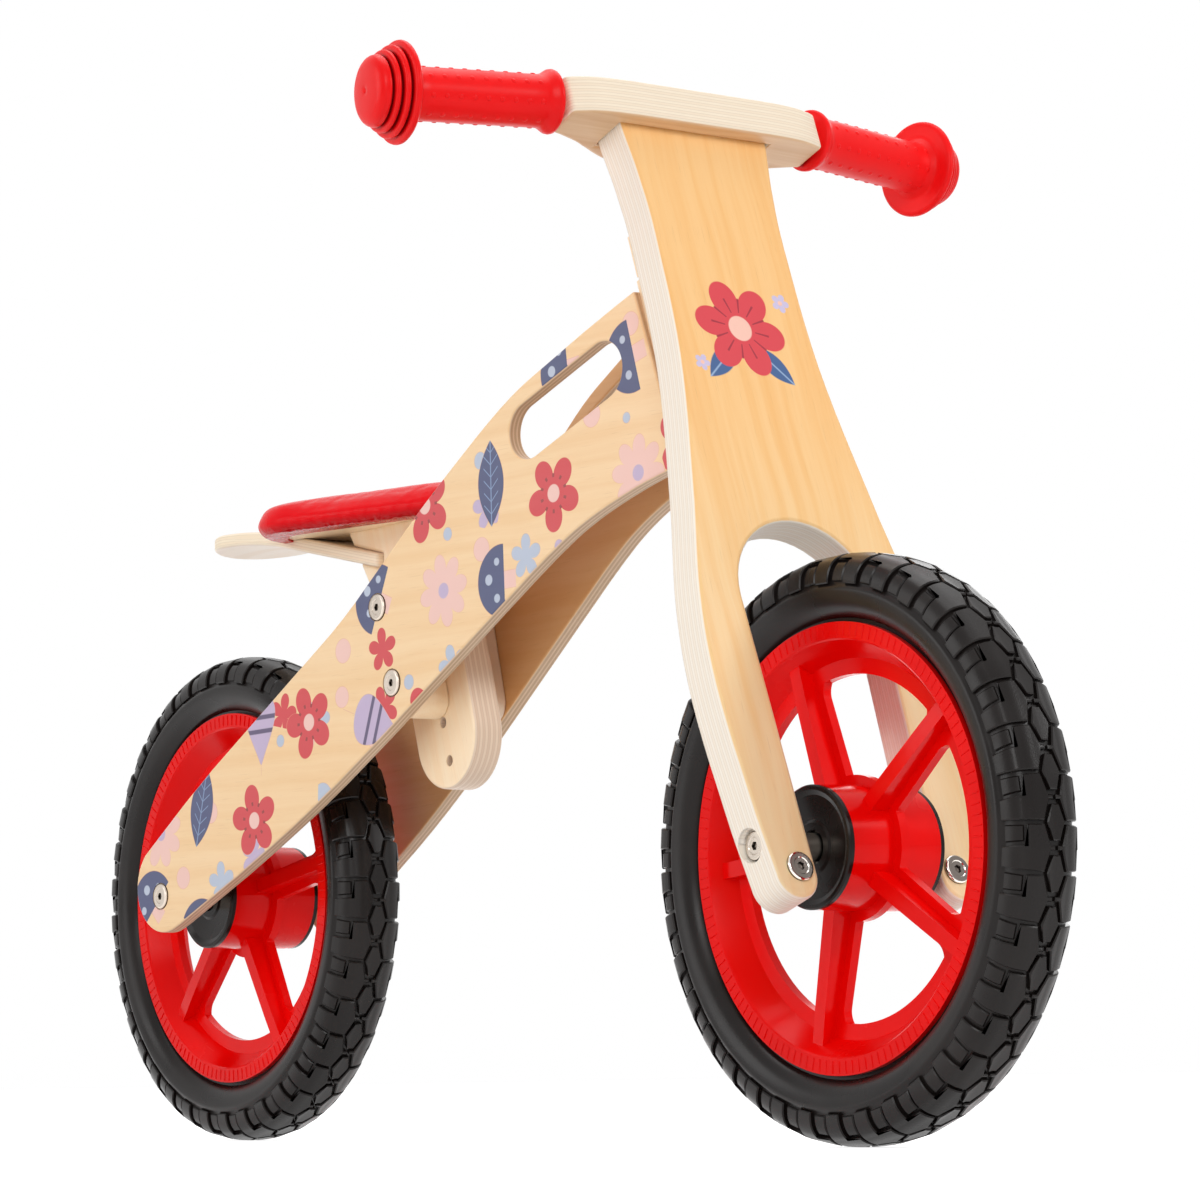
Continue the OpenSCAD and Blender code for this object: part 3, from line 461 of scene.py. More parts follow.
def moulded(name, look, specular, grainHeight=0.00003, hollows=None):
    # hollows: how far a crease's shade reaches, and its tint
    made, shader, where = startMaterial(name, Specular_IOR_Level=specular)
    layers = useGroup(mouldSkin, {"Place": where, **look})
    color = layers["Color"]
    if hollows:
        color = mixColors(hollowShadeMask(hollows[0], 0.35, 0.92), hollows[1], color)
    cover(shader, color, layers["Roughness"], layers["Height"], grainHeight, 0.6)
    return made


def plated(name, look, axis=None):
    # plated steel with painted shade in its sockets and corners, and a painted dark reflection on faces square to the
    # axis
    made, shader, where = startMaterial(name, Metallic=1.0)
    layers = useGroup(mouldSkin, {"Place": where, **look})
    color = layers["Color"]
    if axis:
        # painted reflection: faces square to the axis are darkened as if they mirrored something dark
        facing = vector("DOT_PRODUCT", where.node.outputs["Normal"], axis).node.outputs["Value"]
        color = mixColors(smoothStep(magnitude(facing), 0.84, 0.97), color, tinted(color, (0.24, 0.22, 0.21, 1)))
    # painted shade in sockets and corners
    color = mixColors(hollowShadeMask(2.5 * mm, 0.45, 0.95), (0.02, 0.016, 0.014, 1), color)
    cover(shader, color, layers["Roughness"], layers["Height"], 0.00002, 0.6)
    return made


def coverVinyl():
    # stretched cover: fine grain, soft waves, and folds where it is drawn under the board
    made, shader, where = startMaterial("redVinyl", Specular_IOR_Level=0.07)
    layers = useGroup(mouldSkin, {"Place": where, **skin((0.78, 0.0025, 0.007), 0.16, 0.3, 650.0)})
    under = smoothStep(split(where)[2], baseLow + 4.6 * mm, baseLow + 0.1 * mm)
    folds, waves = noise(where, 130.0, 2.0, Distortion=1.2), noise(where, 34.0, 1.0)
    relief = scaledPlus(times(folds, under), 9.0, scaledPlus(waves, 4.0, layers["Height"]))
    # painted shade: the cover darkens towards its bottom edge, where it turns under the board
    shade = mixColors(times(under, 0.5), layers["Color"], (0.30, 0.002, 0.004, 1))
    cover(shader, shade, layers["Roughness"], relief, 0.00016)
    return made


def plyLook(thickness, plies, faceLight, faceDark, plyLight, plyDark, figure=1.0):
    return {"Thickness": thickness, "Plies": plies, "Face Light": shown(*faceLight), "Face Dark": shown(*faceDark),
            "Ply Light": shown(*plyLight), "Ply Dark": shown(*plyDark), "Figure": figure}


forkLook = plyLook(bike["forkThickness"], 13.0, (253, 227, 178), (249, 212, 152), (252, 243, 230), (244, 229, 208))
barLook = plyLook(bike["barThickness"], 13.0, (226, 190, 150), (208, 162, 116), (243, 228, 206), (233, 212, 184))
panelLook = plyLook(bike["panelThickness"], 7.0, (247, 214, 170), (240, 200, 150), (226, 200, 170),
                    (160, 116, 80), 0.8)
postLook = plyLook(bike["postThickness"], 11.0, (255, 232, 198), (252, 220, 178), (234, 212, 190),
                   (206, 172, 142), 0.8)
tailLook = plyLook(8 * mm, 5.0, (244, 226, 206), (236, 212, 184), (250, 234, 208), (240, 218, 186), 0.8)


def printedPly(name, look, shift):
    # plywood with a print on its outer face, which the grain shows through a little
    made, shader, where = startMaterial(name, Coat_Weight=0.08, Coat_Roughness=0.3, Specular_IOR_Level=0.3)
    board = boardCoords()
    layers = useGroup(plyLayers, {"Board": board, **look})
    inks = useGroup(gardenPrint, {"Board": board, "Cell": 54 * mm, "Shift": shift})
    depth = split(board)[2]
    face = times(inks["Mask"], smoothStep(depth, 0.0005, 0.0002))
    # painted shade: the inner face, between the panels, is darkened
    inner = smoothStep(depth, look["Thickness"] - 0.0006, look["Thickness"] - 0.0003)
    bare = mixColors(inner, layers["Color"], tinted(layers["Color"], (0.76, 0.61, 0.47, 1)))
    grained = mixColors(0.08, inks["Color"], layers["Color"])
    cover(shader, mixColors(face, bare, grained), layers["Roughness"], layers["Height"], 0.00012)
    return made


def flowerPly(name, look, centre, size):
    # plywood with one large flower and its leaves on the front face
    made, shader, where = startMaterial(name, Coat_Weight=0.06, Coat_Roughness=0.3, Specular_IOR_Level=0.3)
    board = boardCoords()
    layers = useGroup(plyLayers, {"Board": board, **look})
    along, aside, depth = split(board)
    up, across = over(minus(along, centre[0]), size), over(minus(aside, centre[1]), size)

    def under(value, limit, soft=0.012):
        return smoothStep(minus(value, limit), soft, -soft)

    def petals(right, high, count, inner, reach, turn):
        x, y = minus(across, right), minus(up, high)
        radius, angle = calc("SQRT", plus(power(x, 2.0), power(y, 2.0))), calc("ARCTAN2", y, x)
        wave = magnitude(cosine(scaledPlus(angle, count / 2, turn)))
        return under(radius, scaledPlus(power(wave, 0.7), reach, inner)), radius, angle

    # the face veneer grows warmer and darker towards the top of the board
    veneer = smaller(depth, minus(look["Thickness"], depth))
    warm = times(smoothStep(along, 10 * mm, 270 * mm), smoothStep(veneer, 0.0009, 0.0004))
    color = mixColors(warm, layers["Color"], tinted(layers["Color"], (0.95, 0.74, 0.54, 1)))
    front = smoothStep(depth, look["Thickness"] - 0.0005, look["Thickness"] - 0.0002)

    def stamp(tint, shape):
        nonlocal color
        color = mixColors(times(shape, front), color, tint)

    eye = shown(247, 196, 178)
    for side in (-1, 1):
        onward = scaledPlus(across, side * 0.72, scaledPlus(up, -0.69, -0.62))
        beside = magnitude(scaledPlus(across, side * 0.69, times(up, 0.72)))
        leaf = under(beside, scaledPlus(power(over(onward, 0.42), 2.0), -0.17, 0.17))
        stamp(shown(58, 92, 142), leaf)
        stamp(shown(150, 176, 210), times(leaf, under(beside, 0.012)))
    shape, radius, angle = petals(0.0, 0.12, 6, 0.42, 0.36, 0.5)
    stamp(shown(216, 62, 72), shape)
    rays = smoothStep(cosine(scaledPlus(angle, 12.0, 2.0)), 0.86, 0.97)
    stamp(shown(160, 34, 52), times(rays, times(under(radius, 0.5), above(radius, 0.26))))
    stamp(eye, under(radius, 0.2))
    for right, high, small in ((0.86, 0.62, 0.13), (-0.84, -0.5, 0.11)):
        shape, radius, angle = petals(right, high, 5, small * 0.6, small * 0.6, 0.3)
        stamp(shown(204, 192, 222), shape)
        stamp(eye, under(radius, small * 0.3))
    cover(shader, color, layers["Roughness"], layers["Height"], 0.00012)
    return made


forkPly = flowerPly("forkPly", forkLook, (279 * mm, -2 * mm), 36 * mm)
panelPly = printedPly("panelPly", panelLook, (0.37, 0.71, 0.0))
barPly = plywood("barPly", barLook)
postPly = plywood("postPly", postLook)
tailPly = plywood("tailPly", tailLook)
basePly = plywood("basePly", {**postLook, "Thickness": 6.5 * mm, "Plies": 5.0}, baseLow)
spacerWood = plywood("spacerWood", {**postLook, "Thickness": 0.4, "Plies": 1.0})
redPlastic = moulded("redPlastic", skin((0.82, 0.0015, 0.001), 0.14, 0.3, 700.0), 0.10)
redRubber = moulded("redRubber", skin((0.88, 0.006, 0.007), 0.3, 0.45, 1400.0), 0.14, 0.00005,
                    (2.2 * mm, (0.28, 0.0, 0.001, 1)))
blackTyre = moulded("blackTyre", skin((0.0085, 0.0062, 0.0056), 0.24, 0.4, 1100.0, 0.12, (0.05, 0.042, 0.038)),
                    0.2, 0.00008)
blackPlastic = moulded("blackPlastic", skin((0.010, 0.007, 0.006), 0.16, 0.34, 900.0, 0.08, (0.08, 0.07, 0.06)),
                       0.14)
zincSteel = plated("zincSteel", skin((0.57, 0.50, 0.43), 0.2, 0.4, 1800.0, 0.06, (0.4, 0.34, 0.28)))
nickelSteel = plated("nickelSteel", skin((0.78, 0.73, 0.68), 0.07, 0.18, 1500.0, 0.04, (0.2, 0.17, 0.15)),
                     (0.943, 0, 0.334))
redVinyl = coverVinyl()
print("finishes mixed")


def newPiece(name, mesh, body, material, replaced=()):
    piece = addObject(name, mesh)
    mesh.materials.clear()
    mesh.materials.append(material)
    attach(piece, body)
    if replaced:
        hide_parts(*replaced)
    return piece


def bakedMesh(holder, name):
    # the object's mesh with its modifiers done, and the object cleared away
    depsgraph = bpy.context.evaluated_depsgraph_get()
    mesh = bpy.data.meshes.new_from_object(holder.evaluated_get(depsgraph))
    mesh.name = name
    bpy.data.objects.remove(holder)
    return mesh


def mergedCopy(node):
    bm = bmesh.new()
    bm.from_mesh(nodes[node].data)
    bmesh.ops.remove_doubles(bm, verts=bm.verts, dist=0.00002)
    return bm


def outlineEdges(bm, shortest, angle=50):
    # sharp edges whose connected run is longer than a bolt hole's rim
    sharp = {edge for edge in bm.edges
             if len(edge.link_faces) == 2 and edge.calc_face_angle(0) > math.radians(angle)}
    chosen = []
    while sharp:
        seed = sharp.pop()
        group, pending = [seed], [seed]
        while pending:
            edge = pending.pop()
            for vert in edge.verts:
                for other in vert.link_edges:
                    if other in sharp:
                        sharp.remove(other)
                        group.append(other)
                        pending.append(other)
        if sum(edge.calc_length() for edge in group) > shortest:
            chosen.extend(group)
    return chosen


def softBoard(name, node, body, material, width, place, reshape=None):
    bm = mergedCopy(node)
    if reshape:
        for vert in bm.verts:
            vert.co = reshape(vert.co)
    bmesh.ops.dissolve_limit(bm, angle_limit=math.radians(1), verts=bm.verts, edges=bm.edges)
    weights = bm.edges.layers.float.new("bevel_weight_edge")
    for edge in outlineEdges(bm, shortest=70 * mm):
        edge[weights] = 1.0
    holder = addObject("holder", smoothed(toMesh(bm, name, False), 35))
    bevel = holder.modifiers.new("rounded edge", "BEVEL")
    bevel.limit_method = "WEIGHT"
    bevel.width, bevel.segments, bevel.use_clamp_overlap = width, 4, False
    flat = holder.modifiers.new("flat faces", "WEIGHTED_NORMAL")
    flat.keep_sharp = True
    mesh = bakedMesh(holder, name)
    coords = mesh.attributes.new("board", "FLOAT_VECTOR", "POINT")
    for vert in mesh.vertices:
        coords.data[vert.index].vector = place(vert.co)
    return newPiece(name, mesh, body, material, [node])


def inFork(co):
    at = forkFrame.inverted() @ co
    return at.z, at.y, at.x + bike["forkThickness"] / 2


def inBar(co):
    at = forkFrame.inverted() @ co
    return at.y, at.x, at.z - bike["barRise"]


def inRightPanel(co):
    at = panelFrame.inverted() @ co
    return at.x, at.z, at.y


def inLeftPanel(co):
    # the same print, further along
    along, aside, depth = inRightPanel(Vector((co.x, -co.y, co.z)))
    return along + 1.37, aside, depth


def inPost(co):
    lean = math.radians(bike["postLean"])
    return (co.z * math.cos(lean) - co.x * math.sin(lean), co.x * math.cos(lean) + co.z * math.sin(lean),
            co.y + bike["postThickness"] / 2)


def inTail(co):
    # through-thickness follows the strip's bend
    slope, dip, radius, thick = math.radians(13), math.radians(6.7), 278 * mm, 8 * mm
    centre = Vector((tailBend.x - radius * math.sin(slope), 0, tailBend.z - radius * math.cos(slope)))
    out = Vector((co.x - centre.x, 0, co.z - centre.z))
    angle = min(max(math.atan2(out.x, out.z), -dip), slope)
    return co.x, co.y, out.x * math.sin(angle) + out.z * math.cos(angle) - radius + thick


# stations of the bar's rear edge are (aside, behind) in millimetres
barBack = {"built": ((0, 21), (19, 20), (40, 16.5), (57, 10), (72, 6.6), (82, 5)),
           "shown": ((0, 28), (25, 26.3), (40, 21.5), (60, 12.2), (72, 7.8), (82, 5)),
           "slotDepth": 12 * mm, "slotEnd": 51 * mm, "slotShown": 48.4 * mm,
           "startByFork": -11.7 * mm, "startBeyond": -4.9 * mm}


def backAt(stations, y):
    for (y0, x0), (y1, x1) in zip(stations, stations[1:]):
        if y <= y1 * mm:
            return -(x0 + (x1 - x0) * (y / mm - y0) / (y1 - y0)) * mm
    return -stations[-1][1] * mm


def deeperBar(co):
    # the bar's rear edge swells towards the middle, and its slot closes on the fork's edges
    at = forkFrame.inverted() @ co
    y = abs(at.y)
    if abs(at.x) < barBack["slotDepth"] and abs(y - barBack["slotEnd"]) < 0.5 * mm:
        at.y = math.copysign(barBack["slotShown"], at.y)
    built = backAt(barBack["built"], y)
    start = barBack["startByFork" if y < barBack["slotEnd"] + 0.2 * mm else "startBeyond"]
    if at.x < start:
        at.x += (backAt(barBack["shown"], y) - built) * min((start - at.x) / (start - built), 1)
    return forkFrame @ at


softBoard("forkBoard", "fork_plate", "fork", forkPly, 2.4 * mm, inFork)
softBoard("barBoard", "handlebar", "fork", barPly, 2.1 * mm, inBar, deeperBar)
softBoard("rightPanel", "right_side_panel", "frame", panelPly, 1.3 * mm, inRightPanel)
softBoard("leftPanel", "left_side_panel", "frame", panelPly, 1.3 * mm, inLeftPanel)
softBoard("postBoard", "seat_post", "frame", postPly, 2.2 * mm, inPost)
softBoard("tailBoard", "tail_strip", "frame", tailPly, 2.0 * mm, inTail)
softBoard("rightSpacer", "right_seat_spacer", "frame", spacerWood, 1.5 * mm, inPost)
softBoard("leftSpacer", "left_seat_spacer", "frame", spacerWood, 1.5 * mm, inPost)
print("boards rounded")


def newGeometryTree(name, inputs):
    return newGroup(name, [("Geometry", "Geometry", None), *inputs], [("Geometry", "Geometry")], "Geometry")


def placeCopies(points, instance, turn, material, out):
    placed = addNode("GeometryNodeInstanceOnPoints", {"Points": points, "Instance": instance, "Rotation": turn})
    real = addNode("GeometryNodeRealizeInstances", {"Geometry": placed.outputs[0]})
    painted = addNode("GeometryNodeSetMaterial", {"Geometry": real.outputs[0], "Material": material})
    put(painted.outputs[0], out[0])


def ringTree():
    # repeats the holder's mesh round the wheel's axle
    tree, given, out = newGeometryTree("ringOfBlocks", [
        ("Count", "Int", 42), ("Centre", "Vector", (0, 0, 0)), ("Phase", "Float", 0.0), ("Material", "Material", None)])
    home = addNode("GeometryNodeTransform", {"Geometry": given["Geometry"],
                                             "Translation": vector("MULTIPLY", given["Centre"], (-1, -1, -1))})
    points = addNode("GeometryNodeMeshLine", {"Count": given["Count"], "Offset": (0, 0, 0),
                                              "Start Location": given["Centre"]})
    index = addNode("GeometryNodeInputIndex").outputs[0]
    angle = scaledPlus(index, over(2 * math.pi, given["Count"]), given["Phase"])
    turn = addNode("ShaderNodeCombineXYZ", {"Y": angle})
    placeCopies(points.outputs["Mesh"], home.outputs[0], turn.outputs[0], given["Material"], out)
    return tree


def runTree(holder, tree, values, name):
    modifier = holder.modifiers.new("blocks", "NODES")
    modifier.node_group = tree
    for item in tree.interface.items_tree:
        if item.in_out == "INPUT" and item.name in values:
            modifier[item.identifier] = values[item.name]
    return bakedMesh(holder, name)


def joinMeshes(name, meshes):
    bm = bmesh.new()
    for mesh in meshes:
        bm.from_mesh(mesh)
    return toMesh(bm, name, False)


def revolve(bm, profile, steps, place, closed=True):
    # profile: (radius, along) pairs; place maps (radius, along, angle) to a point
    rings = [[bm.verts.new(place(radius, along, 2 * math.pi * i / steps)) for radius, along in profile]
             for i in range(steps)]
    for here, there in zip(rings, rings[1:] + rings[:1]):
        joinLoops(bm, here, there, closed)
    return rings


tyre = {"radius": 145 * mm, "width": 41 * mm, "rimRadius": 110.5 * mm, "boxy": 0.75, "lift": 2.3 * mm,
        "count": 38, "rimWidth": 30 * mm, "rimWall": 3 * mm, "edge": 0.6 * mm, "shoulder": 30 * mm,
        "sweep": 152, "steps": 240, "carcassSteps": 192, "ease": 4 * mm, "root": 0.8 * mm, "step": 1.2 * mm}


def tyreCurve():
    # (arc length from the crown, radius, half width) down the side of the section
    middle = (tyre["radius"] + tyre["rimRadius"]) / 2
    half = (tyre["radius"] - tyre["rimRadius"]) / 2
    points, walked = [], 0.0
    for i in range(tyre["steps"] + 1):
        a = math.radians(90 - i * tyre["sweep"] / tyre["steps"])
        r = middle + half * math.copysign(abs(math.sin(a)) ** tyre["boxy"], math.sin(a))
        y = tyre["width"] / 2 * abs(math.cos(a)) ** tyre["boxy"]
        if points:
            walked += math.hypot(r - points[-1][1], y - points[-1][2])
        points.append((walked, r, y))
    return points


tyreSide = tyreCurve()


def onTyre(across, drop):
    # radius and width at a distance across the tread, sunk by drop along the section's normal
    s = abs(across)
    k = max(next((i for i, point in enumerate(tyreSide) if point[0] >= s), len(tyreSide) - 1), 1)
    (s0, r0, y0), (s1, r1, y1) = tyreSide[k - 1], tyreSide[k]
    t = (s - s0) / (s1 - s0)
    r, y = r0 + (r1 - r0) * t, y0 + (y1 - y0) * t
    length = math.hypot(r1 - r0, y1 - y0)
    r, y = r - (y1 - y0) / length * drop, y + (r1 - r0) / length * drop
    return r, math.copysign(y, across) if across else y


def sunk(s):
    # how far the carcass lies under the blocks' faces
    t = min(max((s - tyre["shoulder"] + 1 * mm) / tyre["ease"], 0), 1)
    return tyre["lift"] * (1 - t * t * (3 - 2 * t))


def wheelPoint(hub, radius, along, angle):
    return Vector((hub.x + radius * math.sin(angle), along, hub.z + radius * math.cos(angle)))


def carcass(hub, material):
    reach = int(tyreSide[-1][0] / mm)
    side = [onTyre(s * mm, sunk(s * mm)) for s in range(reach + 1)]
    seat = tyre["rimWidth"] / 2 - tyre["rimWall"] - 0.05 * mm
    right = side + [(tyre["rimRadius"], seat), (tyre["rimRadius"] - 2 * mm, seat)]
    profile = right + [(r, -y) for r, y in reversed(right[1:])]
    bm = bmesh.new()
    revolve(bm, profile, tyre["carcassSteps"], lambda r, y, a: wheelPoint(hub, r, y, a))
    mesh = smoothed(toMesh(bm, "carcass"), 50)
    mesh.materials.append(material)
    return mesh


def addBlock(bm, hub, corners, side=1, drop=0.0, grid=1.6 * mm):
    # a raised block over a polygon of (around, across) corners, cut fine enough to follow the section
    corners = [(u * side * mm, s * side * mm) for u, s in corners]
    flat = bmesh.new()
    flat.faces.new([flat.verts.new((u, s, 0)) for u, s in corners])
    low, high = min(s for u, s in corners), max(s for u, s in corners)
    cut = low + grid
    while cut < high - grid * 0.4:
        bmesh.ops.bisect_plane(flat, geom=flat.verts[:] + flat.edges[:] + flat.faces[:],
                               plane_co=(0, cut, 0), plane_no=(0, 1, 0))
        cut += grid
    top, foot = {}, {}
    for vert in flat.verts:
        angle = vert.co.x / tyre["radius"]
        top[vert.index] = bm.verts.new(wheelPoint(hub, *onTyre(vert.co.y, drop), angle))
        if any(len(edge.link_faces) == 1 for edge in vert.link_edges):
            under = onTyre(vert.co.y, sunk(abs(vert.co.y)) + tyre["root"])
            foot[vert.index] = bm.verts.new(wheelPoint(hub, *under, angle))
    edges = []
    for face in flat.faces:
        bm.faces.new([top[vert.index] for vert in face.verts])
    for edge in flat.edges:
        if len(edge.link_faces) == 1:
            a, b = (vert.index for vert in edge.verts)
            bm.faces.new((top[a], top[b], foot[b], foot[a]))
            edges.append(bm.edges.get((top[a], top[b])))
    flat.free()
    return edges


def treadBlocks(hub):
    # corners in millimetres; p is the tread's pitch round the crown
    p = 2 * math.pi * tyre["radius"] / tyre["count"] / mm
    end = tyre["shoulder"] / mm
    hexagon = [(8.6, 2.2), (0, 5.4), (-8.6, 2.2), (-8.6, -2.2), (0, -5.4), (8.6, -2.2)]
    lug = [(0.9, 6.9), (p / 2 - 1, 3.6), (p / 2 - 1, 0.9), (p / 2 + 1, 0.9), (p / 2 + 1, 3.6), (p - 0.9, 6.9),
           (p - 0.9, 16), (p / 2 + 1.2, 16), (p / 2 + 0.4, end), (1.7, end)]
    low = [(p / 2 + 3, 17.5), (p - 1.2, 17.5), (p - 0.6, end - 1), (p / 2 + 2.4, end - 1)]
    bm = bmesh.new()
    edges = addBlock(bm, hub, hexagon)
    for side in (1, -1):
        edges += addBlock(bm, hub, lug, side)
        edges += addBlock(bm, hub, low, side, tyre["step"])
    bmesh.ops.recalc_face_normals(bm, faces=bm.faces)
    bmesh.ops.bevel(bm, geom=edges, offset=tyre["edge"], segments=1, affect="EDGES")
    return toMesh(bm, "treadBlocks", False)


blockRing = ringTree()
for name, hub, body, node in (("frontTyre", frontHub, "front_wheel_assembly", "front_tyre"),
                              ("rearTyre", rearHub, "rear_wheel_assembly", "rear_tyre")):
    blocks = runTree(addObject("holder", treadBlocks(hub)), blockRing,
                     {"Count": tyre["count"], "Centre": hub, "Phase": 0.05, "Material": blackTyre}, "blocks")
    mesh = joinMeshes(name, [carcass(hub, blackTyre), smoothed(blocks, 28)])
    newPiece(name, mesh, body, blackTyre, [node])
print("tyres moulded")

grip = {"length": 86 * mm, "tube": 13.8 * mm, "flange": 26.5 * mm, "rows": 8, "perRow": 10, "dot": 1.25 * mm,
        "dotHeight": 0.45 * mm, "pitch": 7.8 * mm, "firstDot": 12 * mm, "tip": 19.6 * mm, "steps": 72}


def gripProfile():
    # (radius, along) in millimetres, from the open end to the tip of the cap
    t, f, n = (grip[key] / mm for key in ("tube", "flange", "length"))
    half = [(8.3, 0.3), (15.4, 0), (16.5, 0.5), (16.8, 1.6), (16.6, 2.9), (15.8, 4.2), (14.8, 5.8), (t + 0.3, 7.4),
            (t, 9.2)]
    half += [(t, 9.2 + (n - 13) * i / 10) for i in range(1, 11)]
    half += [(t + 0.6, n - 2.6), (t + 2.0, n - 1.8), (t + 2.5, n - 1.0), (t + 3.4, n - 0.5), (t + 5.5, n - 0.3),
             (f - 3, n - 0.5), (f - 1.2, n - 0.2), (f - 0.25, n + 0.7), (f, n + 1.7), (f - 0.2, n + 2.7),
             (f - 0.8, n + 3.4)]
    # two thinner plates step down to the cap, with a groove before each
    for step in (0, 1):
        o, a = f - 3.4 - 2.7 * step, n + 3.8 + 4.1 * step
        half += [(o - 2.2, a), (o - 2.4, a + 0.9), (o - 0.2, a + 1.3), (o + 0.5, a + 1.8), (o + 0.6, a + 2.9),
                 (o + 0.3, a + 3.6), (o - 0.6, a + 4.0)]
    half += [(f - 10.4, n + 12.1), (f - 10.6, n + 12.9), (f - 8.4, n + 13.3), (f - 8.0, n + 14.1)]
    half += [(11 + (f - 19.2) * math.cos(a), n + 15 + 4.9 * math.sin(a))
             for a in (math.radians(k * 15) for k in range(6))]
    half += [(8, n + 20.1), (4, n + 20.35), (2, n + 20.3), (1.5, n + 20.1), (1.2, n + 19.7), (0.5, n + 19.6)]
    return [(radius * mm, along * mm) for radius, along in half]


def dotTree():
    # one dot at each point, its height along the point's normal
    tree, given, out = newGeometryTree("rowsOfDots", [
        ("Dot", "Object", None), ("Rows", "Int", 8), ("Per Row", "Int", 9), ("Radius", "Float", 0.0138),
        ("Pitch", "Float", 0.0083), ("First", "Float", 0.0135), ("Material", "Material", None)])
    points = addNode("GeometryNodeMeshLine", {"Count": times(given["Rows"], given["Per Row"]), "Offset": (0, 0, 0)})
    index = addNode("GeometryNodeInputIndex").outputs[0]
    row, place = calc("FLOOR", over(index, given["Per Row"])), calc("MODULO", index, given["Per Row"])
    angle = scaledPlus(row, over(2 * math.pi, given["Rows"]), 0.2)
    x, y = times(cosine(angle), given["Radius"]), times(calc("SINE", angle), given["Radius"])
    spot = addNode("ShaderNodeCombineXYZ", {0: x, 1: y, 2: scaledPlus(place, given["Pitch"], given["First"])})
    moved = addNode("GeometryNodeSetPosition", {"Geometry": points.outputs["Mesh"], "Position": spot.outputs[0]})
    turn = addNode("ShaderNodeCombineXYZ", {"Z": angle})
    dot = addNode("GeometryNodeObjectInfo", {"Object": given["Dot"]})
    placeCopies(moved.outputs[0], dot.outputs["Geometry"], turn.outputs[0], given["Material"], out)
    return tree


def dotMesh():
    # a low dome on a short skirt, its axis along X
    bm = bmesh.new()
    r, h, corners = grip["dot"], grip["dotHeight"], 10
    turns = [2 * math.pi * k / corners for k in range(corners)]
    loops = [[bm.verts.new((x, radius * math.cos(t), radius * math.sin(t))) for t in turns]
             for radius, x in ((r * 1.25, -0.3 * mm), (r * 1.1, h * 0.12), (r * 0.85, h * 0.68), (r * 0.45, h * 0.95))]
    for lower, upper in zip(loops, loops[1:]):
        joinLoops(bm, upper, lower)
    bm.faces.new(loops[-1])
    return toMesh(bm, "dot")


def makeGrip(name, node, matrix, flip):
    bm = bmesh.new()
    rings = revolve(bm, gripProfile(), grip["steps"],
                    lambda r, z, a: Vector((r * math.cos(a), r * math.sin(a), z)), closed=False)
    tip = bm.verts.new((0, 0, grip["length"] + grip["tip"]))
    for here, there in zip(rings, rings[1:] + rings[:1]):
        bm.faces.new((here[-1], there[-1], tip))
    bm.faces.new([ring[0] for ring in rings])
    body = toMesh(bm, "gripBody")
    body.materials.append(redRubber)
    dot = addObject("dot", dotMesh())
    dots = runTree(addObject("holder", bpy.data.meshes.new("empty")), dotTree(),
                   {"Dot": dot, "Rows": grip["rows"], "Per Row": grip["perRow"], "Radius": grip["tube"],
                    "Pitch": grip["pitch"], "First": grip["firstDot"], "Material": redRubber}, "dots")
    bpy.data.objects.remove(dot)
    mesh = joinMeshes(name, [body, dots])
    mesh.transform(matrix)
    if flip:
        mesh.flip_normals()
    return newPiece(name, smoothed(mesh, 60), "fork", redRubber, [node])


makeGrip("rightGrip", "right_grip", gripFrame, False)
makeGrip("leftGrip", "left_grip", mirrorY @ gripFrame, True)
print("grips moulded")

ticks = {"count": 132, "inner": 103.2 * mm, "outer": 109.7 * mm, "width": 0.7 * mm, "height": 0.45 * mm}


def tickMesh(hub):
    # a low bar on each face of the rim, its top smaller than its foot
    bm = bmesh.new()
    w, face = ticks["width"] / 2, tyre["rimWidth"] / 2
    for side in (1, -1):
        low, top = ([bm.verts.new((hub.x + x, side * y, hub.z + z)) for x, z in
                     ((-half, ticks["inner"] + inset), (half, ticks["inner"] + inset),
                      (half, ticks["outer"] - inset), (-half, ticks["outer"] - inset))]
                    for y, half, inset in ((face - 0.2 * mm, w * 1.5, 0), (face + ticks["height"], w * 0.6, w)))
        bm.faces.new(top)
        joinLoops(bm, top, low)
    return toMesh(bm, "tick")


for name, hub, body in (("frontTicks", frontHub, "front_wheel_assembly"),
                        ("rearTicks", rearHub, "rear_wheel_assembly")):
    mesh = runTree(addObject("holder", tickMesh(hub)), blockRing,
                   {"Count": ticks["count"], "Centre": hub, "Phase": 0.0, "Material": redPlastic}, name)
    newPiece(name, mesh, body, redPlastic)
print("rims marked")

saddle = {"voxel": 3 * mm, "shrink": 0.5 * mm, "pressure": 4.0, "frames": 16, "cap": 2 * mm, "fill": 0.8,
          "nose": 24.6 * mm, "length": 188 * mm, "rearLong": 46 * mm, "rearHalf": 57 * mm, "noseRadius": 22 * mm,
          "board": 6.5 * mm, "lip": 1.2 * mm, "stapled": 3 * mm, "pocketIn": 5 * mm, "lipIn": 12 * mm,
          "lipWaist": 8 * mm}


def ellipse(x, long, half, degrees):
    return [(x + long * math.cos(t), half * math.sin(t)) for t in map(math.radians, degrees)]


def saddlePlan(inset, waist=0.0):
    # the saddle's outline from above: an elliptical rear that narrows to a round nose
    nose = postFoot.x + saddle["nose"]
    tail, radius = nose - saddle["length"], saddle["noseRadius"] - inset
    return (ellipse(tail + saddle["rearLong"], saddle["rearLong"] - inset, saddle["rearHalf"] - inset - waist,
                    range(78, 283, 6))
            + ellipse(nose - saddle["noseRadius"], radius, radius, range(-72, 73, 8)))


def prism(name, outline, low, high):
    bm = bmesh.new()
    feet, tops = ([bm.verts.new((x, y, z)) for x, y in outline] for z in (low, high))
    bm.faces.new(feet)
    bm.faces.new(tops)
    joinLoops(bm, tops, feet)
    return addObject(name, toMesh(bm, name))


